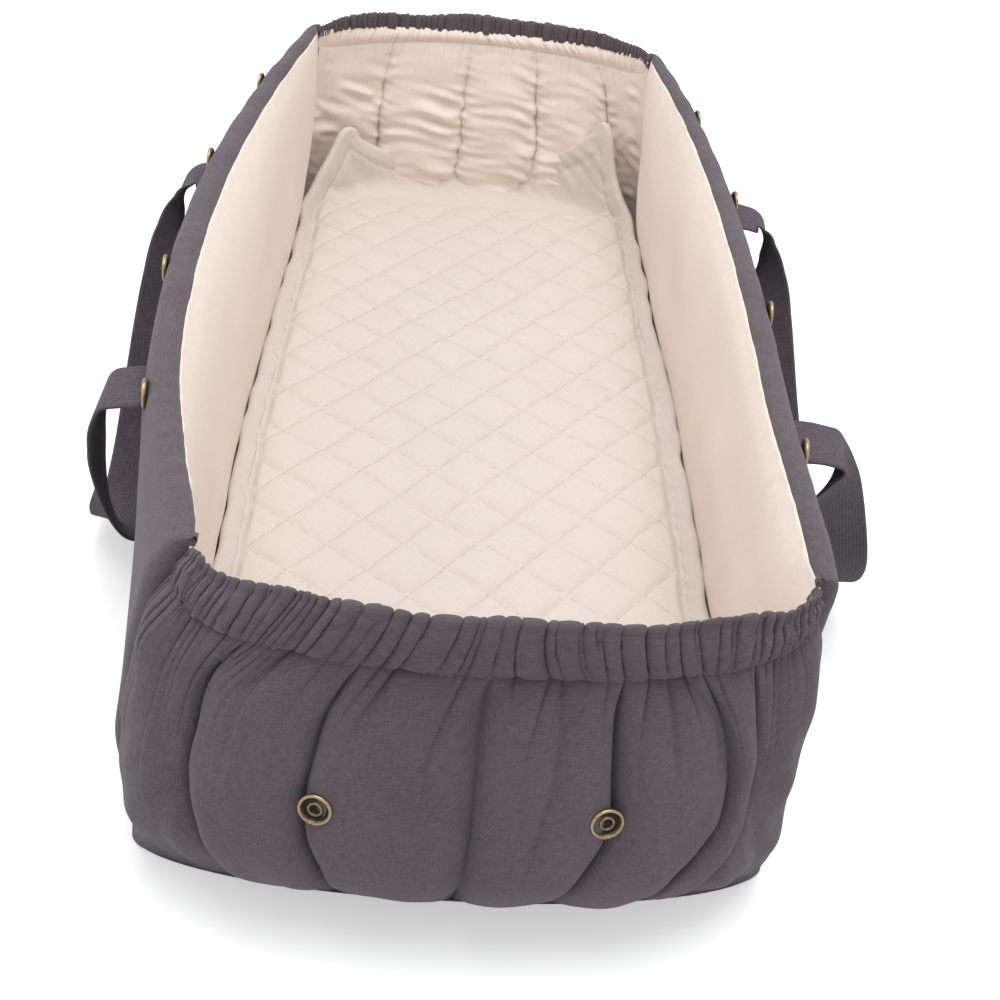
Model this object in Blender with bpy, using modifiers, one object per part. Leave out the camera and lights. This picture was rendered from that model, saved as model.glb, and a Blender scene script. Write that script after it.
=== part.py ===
"""Soft carrycot: foam sides, padded gathered ends, webbing handles, mattress and quilted topper.

Metres, +Z up. The origin is on the ground under the middle, +X is the right side, +Y the back end.
"""
import math
from collections import namedtuple

import bmesh
import bpy
from mathutils import Matrix, Vector
from mathutils.bvhtree import BVHTree

# Clearance between pieces that touch
GAP = 0.0003

# Side walls, measured to the outside of the cover
SIDE_HALF_LENGTH = 0.325
RIM_HEIGHT = 0.188
FOOT_HALF_WIDTH = 0.172
FOOT_NARROWING = 0.002
SIDE_LEAN = 0.002
RIM_NARROWING = 0.026
WALL = 0.016
OUTER_TURN = 0.006
INNER_TURN = 0.003
COVER_FABRIC = 0.0012
LINING_FABRIC = 0.001
LINING_CROWN = 0.006
FLAP_SHARE = 0.6
SIDE_COLUMNS = 10
SIDE_HEIGHT_SHARES = (0.0, 0.3, 0.6, 0.85, 1.0)
TURN_STEPS = 2

# Floor layers
FLOOR_BOARD = 0.003
FLOOR_CLEARANCE = 0.002

# Soft ends: crest of the channels outside, inner face, and the creases between channels
END_BULGE = 0.068
END_INSIDE = 0.034
END_ROUND_POWER = 2.6
CREASE_DEPTH = 0.009
INNER_CREASE_DEPTH = 0.003
CROWN_POWER = 8
CREASE_FAN_POWER = 3
CHANNEL_SHARES = (0, 0.1, 0.5, 0.9, 1)
CHANNEL_COLUMNS = len(CHANNEL_SHARES) - 1
# Each row: height, outer depth, inner depth and crease depth, as shares of the end's sizes
END_PROFILE_SHARES = (
    (0.00, 0.47, 0.71, 0.30),
    (0.06, 0.74, 0.70, 0.60),
    (0.16, 0.92, 0.69, 0.85),
    (0.33, 1.00, 0.66, 1.00),
    (0.52, 0.97, 0.68, 1.00),
    (0.70, 0.87, 0.76, 0.80),
    (0.86, 0.74, 0.87, 0.50),
    (1.00, 0.62, 1.00, 0.30),
)

# Gathered casing along the top of each end, and its elastic
CASING_HEIGHT = 0.030
CASING_FOLD = 0.004
CASING_LEG_ROWS = 2
CASING_FOLD_STEPS = 3
GATHERS = 20
GATHER_DEPTH = 0.0015
ELASTIC_THICKNESS = 0.0012
ELASTIC_WIDTH = 0.020
ELASTIC_SPAN_SHARE = 0.98

# Press studs
STUD_RADIUS = 0.0075
STUD_HEIGHT = 0.0022
STUD_BASE = 0.0008
STUD_SEGMENTS = 8
POST_RADIUS = 0.0021
POST_HEAD_RADIUS = 0.0034
POST_FLANGE_RADIUS = 0.005
POST_FLANGE = 0.0006
POCKET_CLEARANCE = 0.0005
SIDE_STUD_DROP = 0.010
SIDE_STUD_PLACES = {"left": (-0.075, 0.075, -0.204, 0.215), "right": (-0.075, 0.075, -0.215, 0.215)}
END_STUD_HEIGHT = 0.095
FRONT_STUD_SHARES = (-0.36, 0.36)
BACK_STUD_SHARES = (-0.36, 0.42)

# Webbing handles
WEBBING_WIDTH = 0.038
WEBBING_THICKNESS = 0.0016
HANDLE_BACK_PLACE = 0.079
HANDLE_FRONT_PLACES = {"left": -0.181, "right": -0.188}
HANDLE_ROOT_DROP = 0.022
HANDLE_HINGE_OUT = 0.014
HANDLE_REACH = 0.036
HANDLE_LOW = 0.011
HANDLE_STUB = 0.006
HANDLE_STEPS = 34
TAB_STEPS = 4
TAB_CLEARANCE = 0.0004
# The route of a hanging loop, front leg to back leg. Each row: how far out, its place between the
# roots from -1 to 1, how far down, and the half turn of the webbing's width away from +Y
HANDLE_ROUTE_SHARES = (
    (0.38, -1.00, 0.14, 0.02),
    (0.66, -0.92, 0.38, 0.09),
    (0.86, -0.76, 0.64, 0.20),
    (0.98, -0.55, 0.86, 0.33),
    (1.00, -0.31, 0.99, 0.44),
    (0.88, -0.04, 0.99, 0.52),
    (0.72, 0.23, 0.80, 0.60),
    (0.62, 0.47, 0.54, 0.70),
    (0.52, 0.76, 0.30, 0.83),
    (0.38, 0.99, 0.13, 0.97),
)

# Mattress and topper
MATTRESS_SIDE_ROOM = 0.010
MATTRESS_END_REACH = 0.018
MATTRESS_CORNER = 0.100
MATTRESS_HEIGHT = 0.036
MATTRESS_EDGE = 0.008
MATTRESS_FABRIC = 0.001
CORNER_STEPS = 6
TOPPER_THICKNESS = 0.011
TOPPER_SEAM = 0.005
TOPPER_HEM = 0.004
DIAMOND_HALF_WIDTH = 0.0307
DIAMOND_HALF_LENGTH = 0.0305
QUILT_BORDER = 0.020
TOPPER_COLUMNS = 18
TOPPER_ROWS = 44

WALL_FOOT = COVER_FABRIC + GAP
FLOOR_TOP = COVER_FABRIC + GAP + FLOOR_BOARD + GAP + LINING_FABRIC
CASING_FOOT = RIM_HEIGHT - CASING_HEIGHT
SIDE_INSIDE_HALF_LENGTH = SIDE_HALF_LENGTH - COVER_FABRIC - GAP
SIDE_STUD_HEIGHT = RIM_HEIGHT - SIDE_STUD_DROP
HANDLE_ROOT_HEIGHT = RIM_HEIGHT - HANDLE_ROOT_DROP
HANDLE_HINGE_HALF_WIDTH = FOOT_HALF_WIDTH + HANDLE_HINGE_OUT
MATTRESS_HALF_WIDTH = FOOT_HALF_WIDTH - FOOT_NARROWING - WALL - LINING_CROWN - MATTRESS_SIDE_ROOM
MATTRESS_HALF_LENGTH = SIDE_HALF_LENGTH + MATTRESS_END_REACH

# An end of the carrycot: its name, its way along Y, where its creases run at foot and top, its studs
End = namedtuple("End", "name way foot_shares top_shares stud_shares")
FRONT = End("front", -1, (-1, -0.86, -0.51, 0.03, 0.50, 0.86, 1), (-1, -0.70, -0.41, 0.05, 0.49, 0.75, 1),
            FRONT_STUD_SHARES)
BACK = End("back", 1, (-1, -0.54, -0.09, 0.35, 0.75, 1), (-1, -0.57, -0.09, 0.36, 0.74, 1),
           BACK_STUD_SHARES)
SIDES = (("left", -1), ("right", 1))

# Colour, roughness and metallic value of each material
MATERIALS = {
    "grey_canvas": ((0.105, 0.088, 0.105), 0.9, 0.0),
    "cream_cotton": ((0.80, 0.69, 0.60), 0.9, 0.0),
    "grey_webbing": ((0.085, 0.072, 0.085), 0.85, 0.0),
    "foam": ((0.85, 0.83, 0.78), 0.95, 0.0),
    "wadding": ((0.90, 0.90, 0.88), 0.95, 0.0),
    "fibre_board": ((0.36, 0.26, 0.17), 0.8, 0.0),
    "elastic": ((0.82, 0.82, 0.80), 0.8, 0.0),
    "antique_brass": ((0.25, 0.17, 0.09), 0.35, 1.0),
}


def start_collections():
    """Empty the file and make the collections of the parts and of the cutters."""
    for old in list(bpy.data.objects):
        bpy.data.objects.remove(old, do_unlink=True)
    made = []
    for name in ("carrycot", "cutters"):
        collection = bpy.data.collections.new(name)
        bpy.context.scene.collection.children.link(collection)
        made.append(collection)
    return made


def make_material(name, base):
    """A Principled material of its own for one object."""
    color, roughness, metallic = MATERIALS[base]
    material = bpy.data.materials.new(name)
    material.use_nodes = True
    shader = material.node_tree.nodes["Principled BSDF"]
    shader.inputs["Base Color"].default_value = (*color, 1)
    shader.inputs["Roughness"].default_value = roughness
    shader.inputs["Metallic"].default_value = metallic
    material.diffuse_color = (*color, 1)
    return material


def add_part(name, bm, base, origin=(0, 0, 0)):
    """Turn a bmesh in world coordinates into a part whose origin is at the given point."""
    bmesh.ops.translate(bm, vec=-Vector(origin), verts=bm.verts)
    bmesh.ops.recalc_face_normals(bm, faces=bm.faces)
    mesh = bpy.data.meshes.new(name)
    bm.to_mesh(mesh)
    bm.free()
    mesh.shade_smooth()
    mesh.set_sharp_from_angle(angle=math.radians(35))
    mesh.materials.append(make_material(name, base))
    part = bpy.data.objects.new(name, mesh)
    part.location = origin
    PARTS.objects.link(part)
    return part


def slab(name, columns, rows, place, base, origin=(0, 0, 0)):
    """A closed curved layer: a flat grid of two levels, each corner moved by place(column, row, level)."""
    bm = bmesh.new()
    bmesh.ops.create_grid(bm, x_segments=columns, y_segments=rows, size=0.5)
    bmesh.ops.triangulate(bm, faces=bm.faces[:])
    bmesh.ops.solidify(bm, geom=bm.faces[:], thickness=1)
    for vert in bm.verts:
        column = round((vert.co.x + 0.5) * columns)
        row = round((vert.co.y + 0.5) * rows)
        vert.co = place(column, row, round(abs(vert.co.z)))
    return add_part(name, bm, base, origin)


def plate(name, outline, bottom, thickness, base):
    """A flat layer cut to a closed outline of (x, y) points."""
    curve = bpy.data.curves.new(name, "CURVE")
    curve.dimensions = "2D"
    curve.fill_mode = "BOTH"
    curve.extrude = thickness / 2
    spline = curve.splines.new("POLY")
    spline.points.add(len(outline) - 1)
    for point, (x, y) in zip(spline.points, outline):
        point.co = (x, y, 0, 1)
    spline.use_cyclic_u = True
    curve.materials.append(make_material(name, base))
    part = bpy.data.objects.new(name, curve)
    part.location = (0, 0, bottom + thickness / 2)
    PARTS.objects.link(part)
    return part


def side_width(y, z):
    """Half width of the outside at a place along the length and a height."""
    along = (y / SIDE_HALF_LENGTH) ** 2
    foot = FOOT_HALF_WIDTH - FOOT_NARROWING * along
    rim = FOOT_HALF_WIDTH - SIDE_LEAN - RIM_NARROWING * along
    return foot + (rim - foot) * z / RIM_HEIGHT


def turned_section(offset):
    """Section of the cover over the rim as (depth, height), foot to inner seam, moved in by offset."""
    straight = RIM_HEIGHT - OUTER_TURN - WALL_FOOT
    points = [(offset, WALL_FOOT + straight * share) for share in SIDE_HEIGHT_SHARES]
    for step in range(1, TURN_STEPS + 1):
        angle = math.pi / 2 * step / TURN_STEPS
        radius = OUTER_TURN - offset
        depth = OUTER_TURN - radius * math.cos(angle)
        points.append((depth, RIM_HEIGHT - OUTER_TURN + radius * math.sin(angle)))
    for step in range(TURN_STEPS + 1):
        angle = math.pi / 2 * step / TURN_STEPS
        radius = INNER_TURN - offset
        depth = WALL - INNER_TURN + radius * math.sin(angle)
        points.append((depth, RIM_HEIGHT - INNER_TURN + radius * math.cos(angle)))
    return points


def inner_heights(rows):
    """Even heights up the inside of a side wall, below the inner seam."""
    top = RIM_HEIGHT - INNER_TURN - GAP
    return [WALL_FOOT + (top - WALL_FOOT) * row / rows for row in range(rows + 1)]


def inner_crown(y, z):
    """How far the padded inside of a side wall swells at a place."""
    up = (z - WALL_FOOT) / (RIM_HEIGHT - WALL_FOOT)
    along = min(abs(y) / SIDE_HALF_LENGTH, 1)
    return LINING_CROWN * math.sin(math.pi * up) * (1 - along ** 4)


def side_y(column, half_length):
    """Place along the length of one column of a side wall."""
    return (2 * column / SIDE_COLUMNS - 1) * half_length


def make_side(name, way):
    """Cover, foam and lining of one side wall."""
    outside = turned_section(0)
    under = turned_section(COVER_FABRIC)
    core = turned_section(COVER_FABRIC + GAP)
    rows = len(outside) - 1
    heights = inner_heights(rows)

    def cover(column, row, level):
        depth, z = (outside, under)[level][row]
        column -= 1
        y = side_y(min(max(column, 0), SIDE_COLUMNS), SIDE_HALF_LENGTH - level * COVER_FABRIC)
        if column in (-1, SIDE_COLUMNS + 1):
            centre_z = min(z, RIM_HEIGHT - WALL / 2)
            depth += (WALL / 2 - depth) * FLAP_SHARE
            z += (centre_z - z) * FLAP_SHARE
        return Vector((way * (side_width(y, z) - depth), y, z))

    def foam(column, row, level):
        y = side_y(column, SIDE_INSIDE_HALF_LENGTH)
        depth, z = core[row]
        if level:
            z = heights[row] - (GAP if row == rows else 0)
            depth = WALL - LINING_FABRIC - GAP + inner_crown(y, z)
        return Vector((way * (side_width(y, z) - depth), y, z))

    def lining(column, row, level):
        y = side_y(column, SIDE_INSIDE_HALF_LENGTH)
        z = heights[row]
        depth = WALL - LINING_FABRIC * (1 - level) + inner_crown(y, z)
        return Vector((way * (side_width(y, z) - depth), y, z))

    cover_part = slab(name + "_side_cover", SIDE_COLUMNS + 2, rows, cover, "grey_canvas")
    foam_part = slab(name + "_side_foam", SIDE_COLUMNS, rows, foam, "foam")
    slab(name + "_side_lining", SIDE_COLUMNS, rows, lining, "cream_cotton")
    return cover_part, foam_part


def round_end(angle, half_width, depth):
    """Point of a rounded end plan: angle runs from -90 degrees at the left to 90 at the right."""
    power = 2 / END_ROUND_POWER
    x = math.copysign(abs(math.sin(angle)) ** power, angle) * half_width
    return x, SIDE_HALF_LENGTH + GAP + max(math.cos(angle), 0) ** power * depth


def end_column(end, column, up):
    """Angle round an end of one column at a height share, and how close it is to a crease, 0 to 1."""
    channel = min(column // CHANNEL_COLUMNS, len(end.foot_shares) - 2)
    across = CHANNEL_SHARES[column - channel * CHANNEL_COLUMNS]
    angles = []
    for crease in (channel, channel + 1):
        foot, top = end.foot_shares[crease], end.top_shares[crease]
        share = foot + (top - foot) * up ** CREASE_FAN_POWER
        angles.append(math.copysign(math.asin(abs(share) ** (END_ROUND_POWER / 2)), share))
    return angles[0] + (angles[1] - angles[0]) * across, abs(2 * across - 1) ** CROWN_POWER


def end_columns(end):
    """How many columns go round an end."""
    return (len(end.foot_shares) - 1) * CHANNEL_COLUMNS


def end_profile(up):
    """Outer depth, inner depth and crease shares of an end at a height share."""
    for low, high in zip(END_PROFILE_SHARES, END_PROFILE_SHARES[1:]):
        if up <= high[0]:
            part = (up - low[0]) / (high[0] - low[0])
            return [a + (b - a) * part for a, b in zip(low[1:], high[1:])]
    return END_PROFILE_SHARES[-1][1:]


def end_faces(end, column, z, creased=True):
    """Outer and inner face point of an end wall at one column and height."""
    up = min((z - WALL_FOOT) / (CASING_FOOT - WALL_FOOT), 1)
    outer_share, inner_share, crease = end_profile(up)
    angle, dip = end_column(end, column, up)
    width = side_width(SIDE_HALF_LENGTH, z)
    outer = Vector(round_end(angle, width, END_BULGE * outer_share))
    inner = Vector(round_end(angle, width - WALL, END_INSIDE * inner_share))
    inward = (inner - outer).normalized()
    if creased:
        outer += inward * CREASE_DEPTH * crease * dip
        inner -= inward * INNER_CREASE_DEPTH * crease * dip
    return outer, inner


def end_point(end, column, z, from_outer, from_inner=None):
    """Point of an end wall at a depth under its outer face, or short of its inner face."""
    outer, inner = end_faces(end, column, z)
    inward = (inner - outer).normalized()
    spot = outer + inward * from_outer if from_inner is None else inner - inward * from_inner
    return Vector((spot.x, end.way * spot.y, z))


def make_end(end):
    """Cover, wadding and lining of one soft end."""
    columns = end_columns(end)
    heights = [WALL_FOOT + (CASING_FOOT - WALL_FOOT) * row[0] for row in END_PROFILE_SHARES]
    rows = len(heights) - 1
    lining_heights = heights + [(CASING_FOOT + RIM_HEIGHT) / 2, RIM_HEIGHT - CASING_FOLD - GAP]

    def cover(column, row, level):
        return end_point(end, column, heights[row], level * COVER_FABRIC)

    def wadding(column, row, level):
        if level:
            return end_point(end, column, heights[row], 0, LINING_FABRIC + GAP)
        return end_point(end, column, heights[row], COVER_FABRIC + GAP)

    def lining(column, row, level):
        return end_point(end, column, lining_heights[row], 0, LINING_FABRIC * level)

    cover_part = slab(end.name + "_end_cover", columns, rows, cover, "grey_canvas")
    wadding_part = slab(end.name + "_end_wadding", columns, rows, wadding, "wadding")
    slab(end.name + "_end_lining", columns, rows + 2, lining, "cream_cotton")
    return cover_part, wadding_part


def rim_place(end, share, z, depth_share, depth=0):
    """Point in the casing's band at a share round the end and a share through its thickness."""
    angle = math.pi * (share - 0.5)
    width = side_width(SIDE_HALF_LENGTH, z)
    outer_share, inner_share = END_PROFILE_SHARES[-1][1:3]
    outer = Vector(round_end(angle, width, END_BULGE * outer_share))
    inner = Vector(round_end(angle, width - WALL, END_INSIDE * inner_share))
    inward = (inner - outer).normalized()
    spot = outer + (inner - outer) * depth_share + inward * depth
    return Vector((spot.x, end.way * spot.y, z))


def make_casing(end):
    """Gathered casing folded over the top of an end, and the elastic inside it."""
    leg = CASING_HEIGHT - CASING_FOLD
    rows = CASING_LEG_ROWS + CASING_FOLD_STEPS
    columns = 2 * GATHERS

    def casing(column, row, level):
        share = column / columns
        edge = math.sin(math.pi * share) ** 0.5 if 0 < share < 1 else 0
        wave = GATHER_DEPTH * (column % 2) * edge
        fabric = level * COVER_FABRIC
        if row <= CASING_LEG_ROWS:
            z = CASING_FOOT + GAP + (leg - GAP) * row / CASING_LEG_ROWS
            ease = row / CASING_LEG_ROWS
            return rim_place(end, share, z, 0, fabric + wave * ease)
        turn = math.pi * (row - CASING_LEG_ROWS) / CASING_FOLD_STEPS
        fade = (1 + math.cos(turn)) / 2
        z = RIM_HEIGHT - CASING_FOLD + (CASING_FOLD - fabric) * math.sin(turn)
        depth_share = (1 - math.cos(turn)) / 2
        return rim_place(end, share, z, depth_share, fabric * math.cos(turn) + wave * fade)

    def elastic(column, row, level):
        share = 0.5 + (column / columns - 0.5) * ELASTIC_SPAN_SHARE
        z = CASING_FOOT + (leg - ELASTIC_WIDTH) / 2 + ELASTIC_WIDTH * row
        return rim_place(end, share, z, 0, COVER_FABRIC + GATHER_DEPTH + GAP + level * ELASTIC_THICKNESS)

    slab(end.name + "_casing", columns, rows, casing, "grey_canvas")
    slab(end.name + "_elastic", columns // 2, 1, lambda c, r, l: elastic(2 * c, r, l), "elastic")


def floor_outline(inset, depth_share, base_depth):
    """Outline of a floor layer: inset from the walls' outside, with round ends of the given depth."""
    corner = side_width(SIDE_HALF_LENGTH, 0) - inset
    depth = base_depth * depth_share
    rounds = []
    for end in (FRONT, BACK):
        angles = [end_column(end, column, 0)[0] for column in range(end_columns(end) + 1)]
        plan = [round_end(angle, corner, depth) for angle in angles]
        rounds.append([(x, end.way * y) for x, y in plan])
    along = [side_y(column, SIDE_HALF_LENGTH) for column in range(SIDE_COLUMNS + 1)]
    right = [(side_width(y, 0) - inset, y) for y in along]
    left = [(-x, y) for x, y in reversed(right)]
    return rounds[0] + right + rounds[1][::-1] + left


def make_floor():
    """Base fabric, stiff board and lining, one above the other."""
    foot_shares = END_PROFILE_SHARES[0]
    outside = floor_outline(0, foot_shares[1], END_BULGE)
    inset = WALL + FLOOR_CLEARANCE
    inside = floor_outline(inset, foot_shares[2], END_INSIDE - FLOOR_CLEARANCE)
    plate("base_cover", outside, 0, COVER_FABRIC, "grey_canvas")
    plate("base_board", inside, COVER_FABRIC + GAP, FLOOR_BOARD, "fibre_board")
    plate("base_lining", inside, FLOOR_TOP - LINING_FABRIC, LINING_FABRIC, "cream_cotton")


def seat_on(part, origin, direction):
    """Frame on a part's surface where a ray meets it, with Z along the surface normal."""
    bm = bmesh.new()
    bm.from_mesh(part.data)
    tree = BVHTree.FromBMesh(bm)
    bm.free()
    spot, normal = tree.ray_cast(origin, direction)[:2]
    turn = normal.to_track_quat("Z", "Y").to_matrix().to_4x4()
    return Matrix.Translation(spot) @ turn


def turned(bm, profile, frame):
    """Add a closed profile of (radius, height) points, turned about the frame's Z axis."""
    step = 2 * math.pi / STUD_SEGMENTS
    rings = []
    for radius, height in profile:
        count = STUD_SEGMENTS if radius else 1
        turns = [step * i for i in range(count)]
        ring = [Vector((radius * math.cos(turn), radius * math.sin(turn), height)) for turn in turns]
        rings.append([bm.verts.new(frame @ point) for point in ring])
    closed = profile[0][0] > 0
    pairs = list(zip(rings, rings[1:] + rings[:1])) if closed else list(zip(rings, rings[1:]))
    for low, high in pairs:
        for i in range(STUD_SEGMENTS):
            j = (i + 1) % STUD_SEGMENTS
            corners = [low[i % len(low)], low[j % len(low)], high[j % len(high)], high[i % len(high)]]
            bm.faces.new(list(dict.fromkeys(corners)))


def add_turned(name, profile, frame):
    """One turned brass piece in a frame, which is also where its origin lies."""
    bm = bmesh.new()
    turned(bm, profile, frame)
    return add_part(name, bm, "antique_brass", frame.translation)


def cut(part, profile, frames, name):
    """Cut a turned hole into a part at each frame."""
    bm = bmesh.new()
    for frame in frames:
        turned(bm, profile, frame)
    bmesh.ops.recalc_face_normals(bm, faces=bm.faces)
    mesh = bpy.data.meshes.new(name)
    bm.to_mesh(mesh)
    bm.free()
    cutter = bpy.data.objects.new(name, mesh)
    cutter.hide_render = True
    cutter.display_type = "WIRE"
    CUTTERS.objects.link(cutter)
    boolean = part.modifiers.new("stud holes", "BOOLEAN")
    boolean.object = cutter
    boolean.operation = "DIFFERENCE"
    boolean.solver = "EXACT"


def make_studs(sides, ends):
    """Press stud rings on the covers, their posts through the fabric, and the holes they need."""
    ring = (
        (POST_RADIUS + GAP, 0), (STUD_RADIUS - STUD_BASE / 2, 0), (STUD_RADIUS, STUD_HEIGHT / 2),
        (STUD_RADIUS - STUD_BASE, STUD_HEIGHT), (STUD_RADIUS - STUD_HEIGHT, STUD_BASE),
        (POST_RADIUS + GAP, STUD_BASE),
    )
    flange_top = -COVER_FABRIC - 3 * GAP
    head_foot = STUD_BASE + 2 * GAP
    post = (
        (0, flange_top - POST_FLANGE), (POST_FLANGE_RADIUS, flange_top - POST_FLANGE),
        (POST_FLANGE_RADIUS, flange_top), (POST_RADIUS, flange_top), (POST_RADIUS, head_foot),
        (POST_HEAD_RADIUS, head_foot), (POST_HEAD_RADIUS, head_foot + POST_FLANGE),
        (0, head_foot + POST_FLANGE),
    )
    hole_radius = POST_RADIUS + GAP
    hole_floor = -2 * COVER_FABRIC
    hole = ((0, hole_floor), (hole_radius, hole_floor), (hole_radius, STUD_HEIGHT), (0, STUD_HEIGHT))
    pocket_radius = POST_FLANGE_RADIUS + POCKET_CLEARANCE
    pocket_floor = flange_top - POST_FLANGE - POCKET_CLEARANCE
    pocket = ((0, pocket_floor), (pocket_radius, pocket_floor), (pocket_radius, 0), (0, 0))
    seats = []
    for (cover, filling), (name, way) in zip(sides, SIDES):
        start = 2 * way * FOOT_HALF_WIDTH
        rays = [(Vector((start, y, SIDE_STUD_HEIGHT)), Vector((-way, 0, 0)))
                for y in SIDE_STUD_PLACES[name]]
        seats.append((name, cover, filling, rays))
    for (cover, filling), end in zip(ends, (FRONT, BACK)):
        start = 2 * end.way * SIDE_HALF_LENGTH
        places = [share * FOOT_HALF_WIDTH for share in end.stud_shares]
        rays = [(Vector((x, start, END_STUD_HEIGHT)), Vector((0, -end.way, 0))) for x in places]
        seats.append((end.name, cover, filling, rays))
    for name, cover, filling, rays in seats:
        frames = [seat_on(cover, origin, direction) for origin, direction in rays]
        for number, frame in enumerate(frames, 1):
            add_turned(f"{name}_stud_ring_{number}", ring, frame @ Matrix.Translation((0, 0, GAP)))
            add_turned(f"{name}_stud_post_{number}", post, frame)
        cut(cover, hole, frames, name + "_stud_holes")
        cut(filling, pocket, frames, name + "_stud_pockets")


def smooth_path(points, steps):
    """Evenly numbered points of a Catmull-Rom curve through the given points."""
    ends = [2 * points[0] - points[1]] + points + [2 * points[-1] - points[-2]]
    spans = len(points) - 1
    path = []
    for step in range(steps + 1):
        place = step / steps * spans
        span = min(int(place), spans - 1)
        t = place - span
        a, b, c, d = ends[span:span + 4]
        path.append(((2 * b) + (c - a) * t + (2 * a - 5 * b + 4 * c - d) * t ** 2
                     + (3 * b - 3 * c + d - a) * t ** 3) / 2)
    return path


def ribbon(name, centres, widths, origin, way=0):
    """Flat webbing along a path, with the direction of its width at each point.

    A way of -1 or 1 sets its first edge square against the slope of that side wall.
    """
    steps = len(centres) - 1
    frames = []
    for i, centre in enumerate(centres):
        along = (centres[min(i + 1, steps)] - centres[max(i - 1, 0)]).normalized()
        across = (widths[i] - along * widths[i].dot(along)).normalized()
        frames.append((centre, across, along.cross(across)))

    def place(column, row, level):
        centre, across, up = frames[column]
        corner = centre + across * WEBBING_WIDTH * (row - 0.5) + up * WEBBING_THICKNESS * (level - 0.5)
        if way and column == 0:
            corner.x = way * (side_width(corner.y, corner.z) + GAP)
        return corner

    return slab(name, steps, 1, place, "grey_webbing", origin)


def make_handle(name, way):
    """Webbing loop that hangs from its hinge line, and its two sewn ends on the wall."""
    front_place = HANDLE_FRONT_PLACES[name]
    hinge = Vector((way * HANDLE_HINGE_HALF_WIDTH, (front_place + HANDLE_BACK_PLACE) / 2, HANDLE_ROOT_HEIGHT))
    half_span = (HANDLE_BACK_PLACE - front_place) / 2
    drop = HANDLE_ROOT_HEIGHT - HANDLE_LOW
    leaving = Vector((way, 0, -1)).normalized()
    centres = [hinge + Vector((0, -half_span, 0)) + leaving * HANDLE_STUB]
    widths = [Vector((0, 1, 0))]
    for out, along, down, turn in HANDLE_ROUTE_SHARES:
        centres.append(hinge + Vector((way * out * HANDLE_REACH, along * half_span, -down * drop)))
        widths.append(Vector((-math.sin(math.pi * turn), math.cos(math.pi * turn), 0)))
    centres.append(hinge + Vector((0, half_span, 0)) + leaving * HANDLE_STUB)
    widths.append(Vector((0, -1, 0)))
    route = smooth_path(centres, HANDLE_STEPS)
    across = smooth_path(widths, HANDLE_STEPS)
    front_root = hinge - Vector((0, half_span, 0))
    back_root = hinge + Vector((0, half_span, 0))
    loop = [front_root] + route + [back_root]
    ribbon(name + "_handle_loop", loop, widths[:1] + across + widths[-1:], hinge)
    short = WEBBING_THICKNESS / 2 + TAB_CLEARANCE
    for place_name, root in (("front", front_root), ("back", back_root)):
        wall = Vector((way * (side_width(root.y, HANDLE_ROOT_HEIGHT) + GAP), root.y, HANDLE_ROOT_HEIGHT))
        end = root - Vector((way * short, 0, 0))
        tab = smooth_path([wall, (wall + end) / 2, end], TAB_STEPS)
        ribbon(f"{name}_{place_name}_handle_tab", tab, widths[:1] * len(tab), wall, way)


def rounded_plan(inset):
    """Outline of the mattress, moved in by inset."""
    radius = MATTRESS_CORNER - inset
    points = []
    for quarter in range(4):
        side_x = (1, -1, -1, 1)[quarter]
        side_y_way = (1, 1, -1, -1)[quarter]
        centre_x = side_x * (MATTRESS_HALF_WIDTH - MATTRESS_CORNER)
        centre_y = side_y_way * (MATTRESS_HALF_LENGTH - MATTRESS_CORNER)
        for step in range(CORNER_STEPS + 1):
            angle = math.pi / 2 * (quarter + step / CORNER_STEPS)
            points.append((centre_x + radius * math.cos(angle), centre_y + radius * math.sin(angle)))
    return points


def cushion(name, inset, bottom, top, base, shell=0):
    """A block of the mattress's outline with a rounded top edge, solid or a shell open below."""
    bm = bmesh.new()
    verts = [bm.verts.new((x, y, top)) for x, y in rounded_plan(inset)]
    face = bm.faces.new(verts)
    walls = bmesh.ops.extrude_edge_only(bm, edges=face.edges[:])["geom"]
    low = [item for item in walls if isinstance(item, bmesh.types.BMVert)]
    bmesh.ops.translate(bm, verts=low, vec=(0, 0, bottom - top))
    if not shell:
        bmesh.ops.holes_fill(bm, edges=[edge for edge in bm.edges if edge.is_boundary])
    part = add_part(name, bm, base, (0, 0, bottom))
    edge = part.modifiers.new("soft edge", "BEVEL")
    edge.width = MATTRESS_EDGE - inset
    edge.segments = 2
    edge.limit_method = "ANGLE"
    edge.angle_limit = math.radians(60)
    if shell:
        wall = part.modifiers.new("fabric", "SOLIDIFY")
        wall.thickness = shell
        wall.offset = -1
        wall.use_even_offset = True
    return part


def plan_half_width(y):
    """Half width of the mattress outline at a place along its length."""
    into = max(abs(y) - (MATTRESS_HALF_LENGTH - MATTRESS_CORNER), 0)
    bow = math.sqrt(max(MATTRESS_CORNER ** 2 - into ** 2, 0))
    return MATTRESS_HALF_WIDTH - MATTRESS_CORNER + bow


def topper_height(x, y):
    """Thickness of the quilted topper: pillows between diagonal seams, with a flat hem."""
    side = (MATTRESS_HALF_WIDTH - abs(x)) / QUILT_BORDER
    finish = (MATTRESS_HALF_LENGTH - abs(y)) / QUILT_BORDER
    inside = max(min(side, finish, 1), 0)
    u = x / DIAMOND_HALF_WIDTH
    v = y / DIAMOND_HALF_LENGTH
    pillow = abs(math.sin(math.pi * (u + v) / 2) * math.sin(math.pi * (u - v) / 2)) ** 0.5
    quilted = TOPPER_SEAM + (TOPPER_THICKNESS - TOPPER_SEAM) * pillow
    return TOPPER_HEM + (quilted - TOPPER_HEM) * inside


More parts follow.
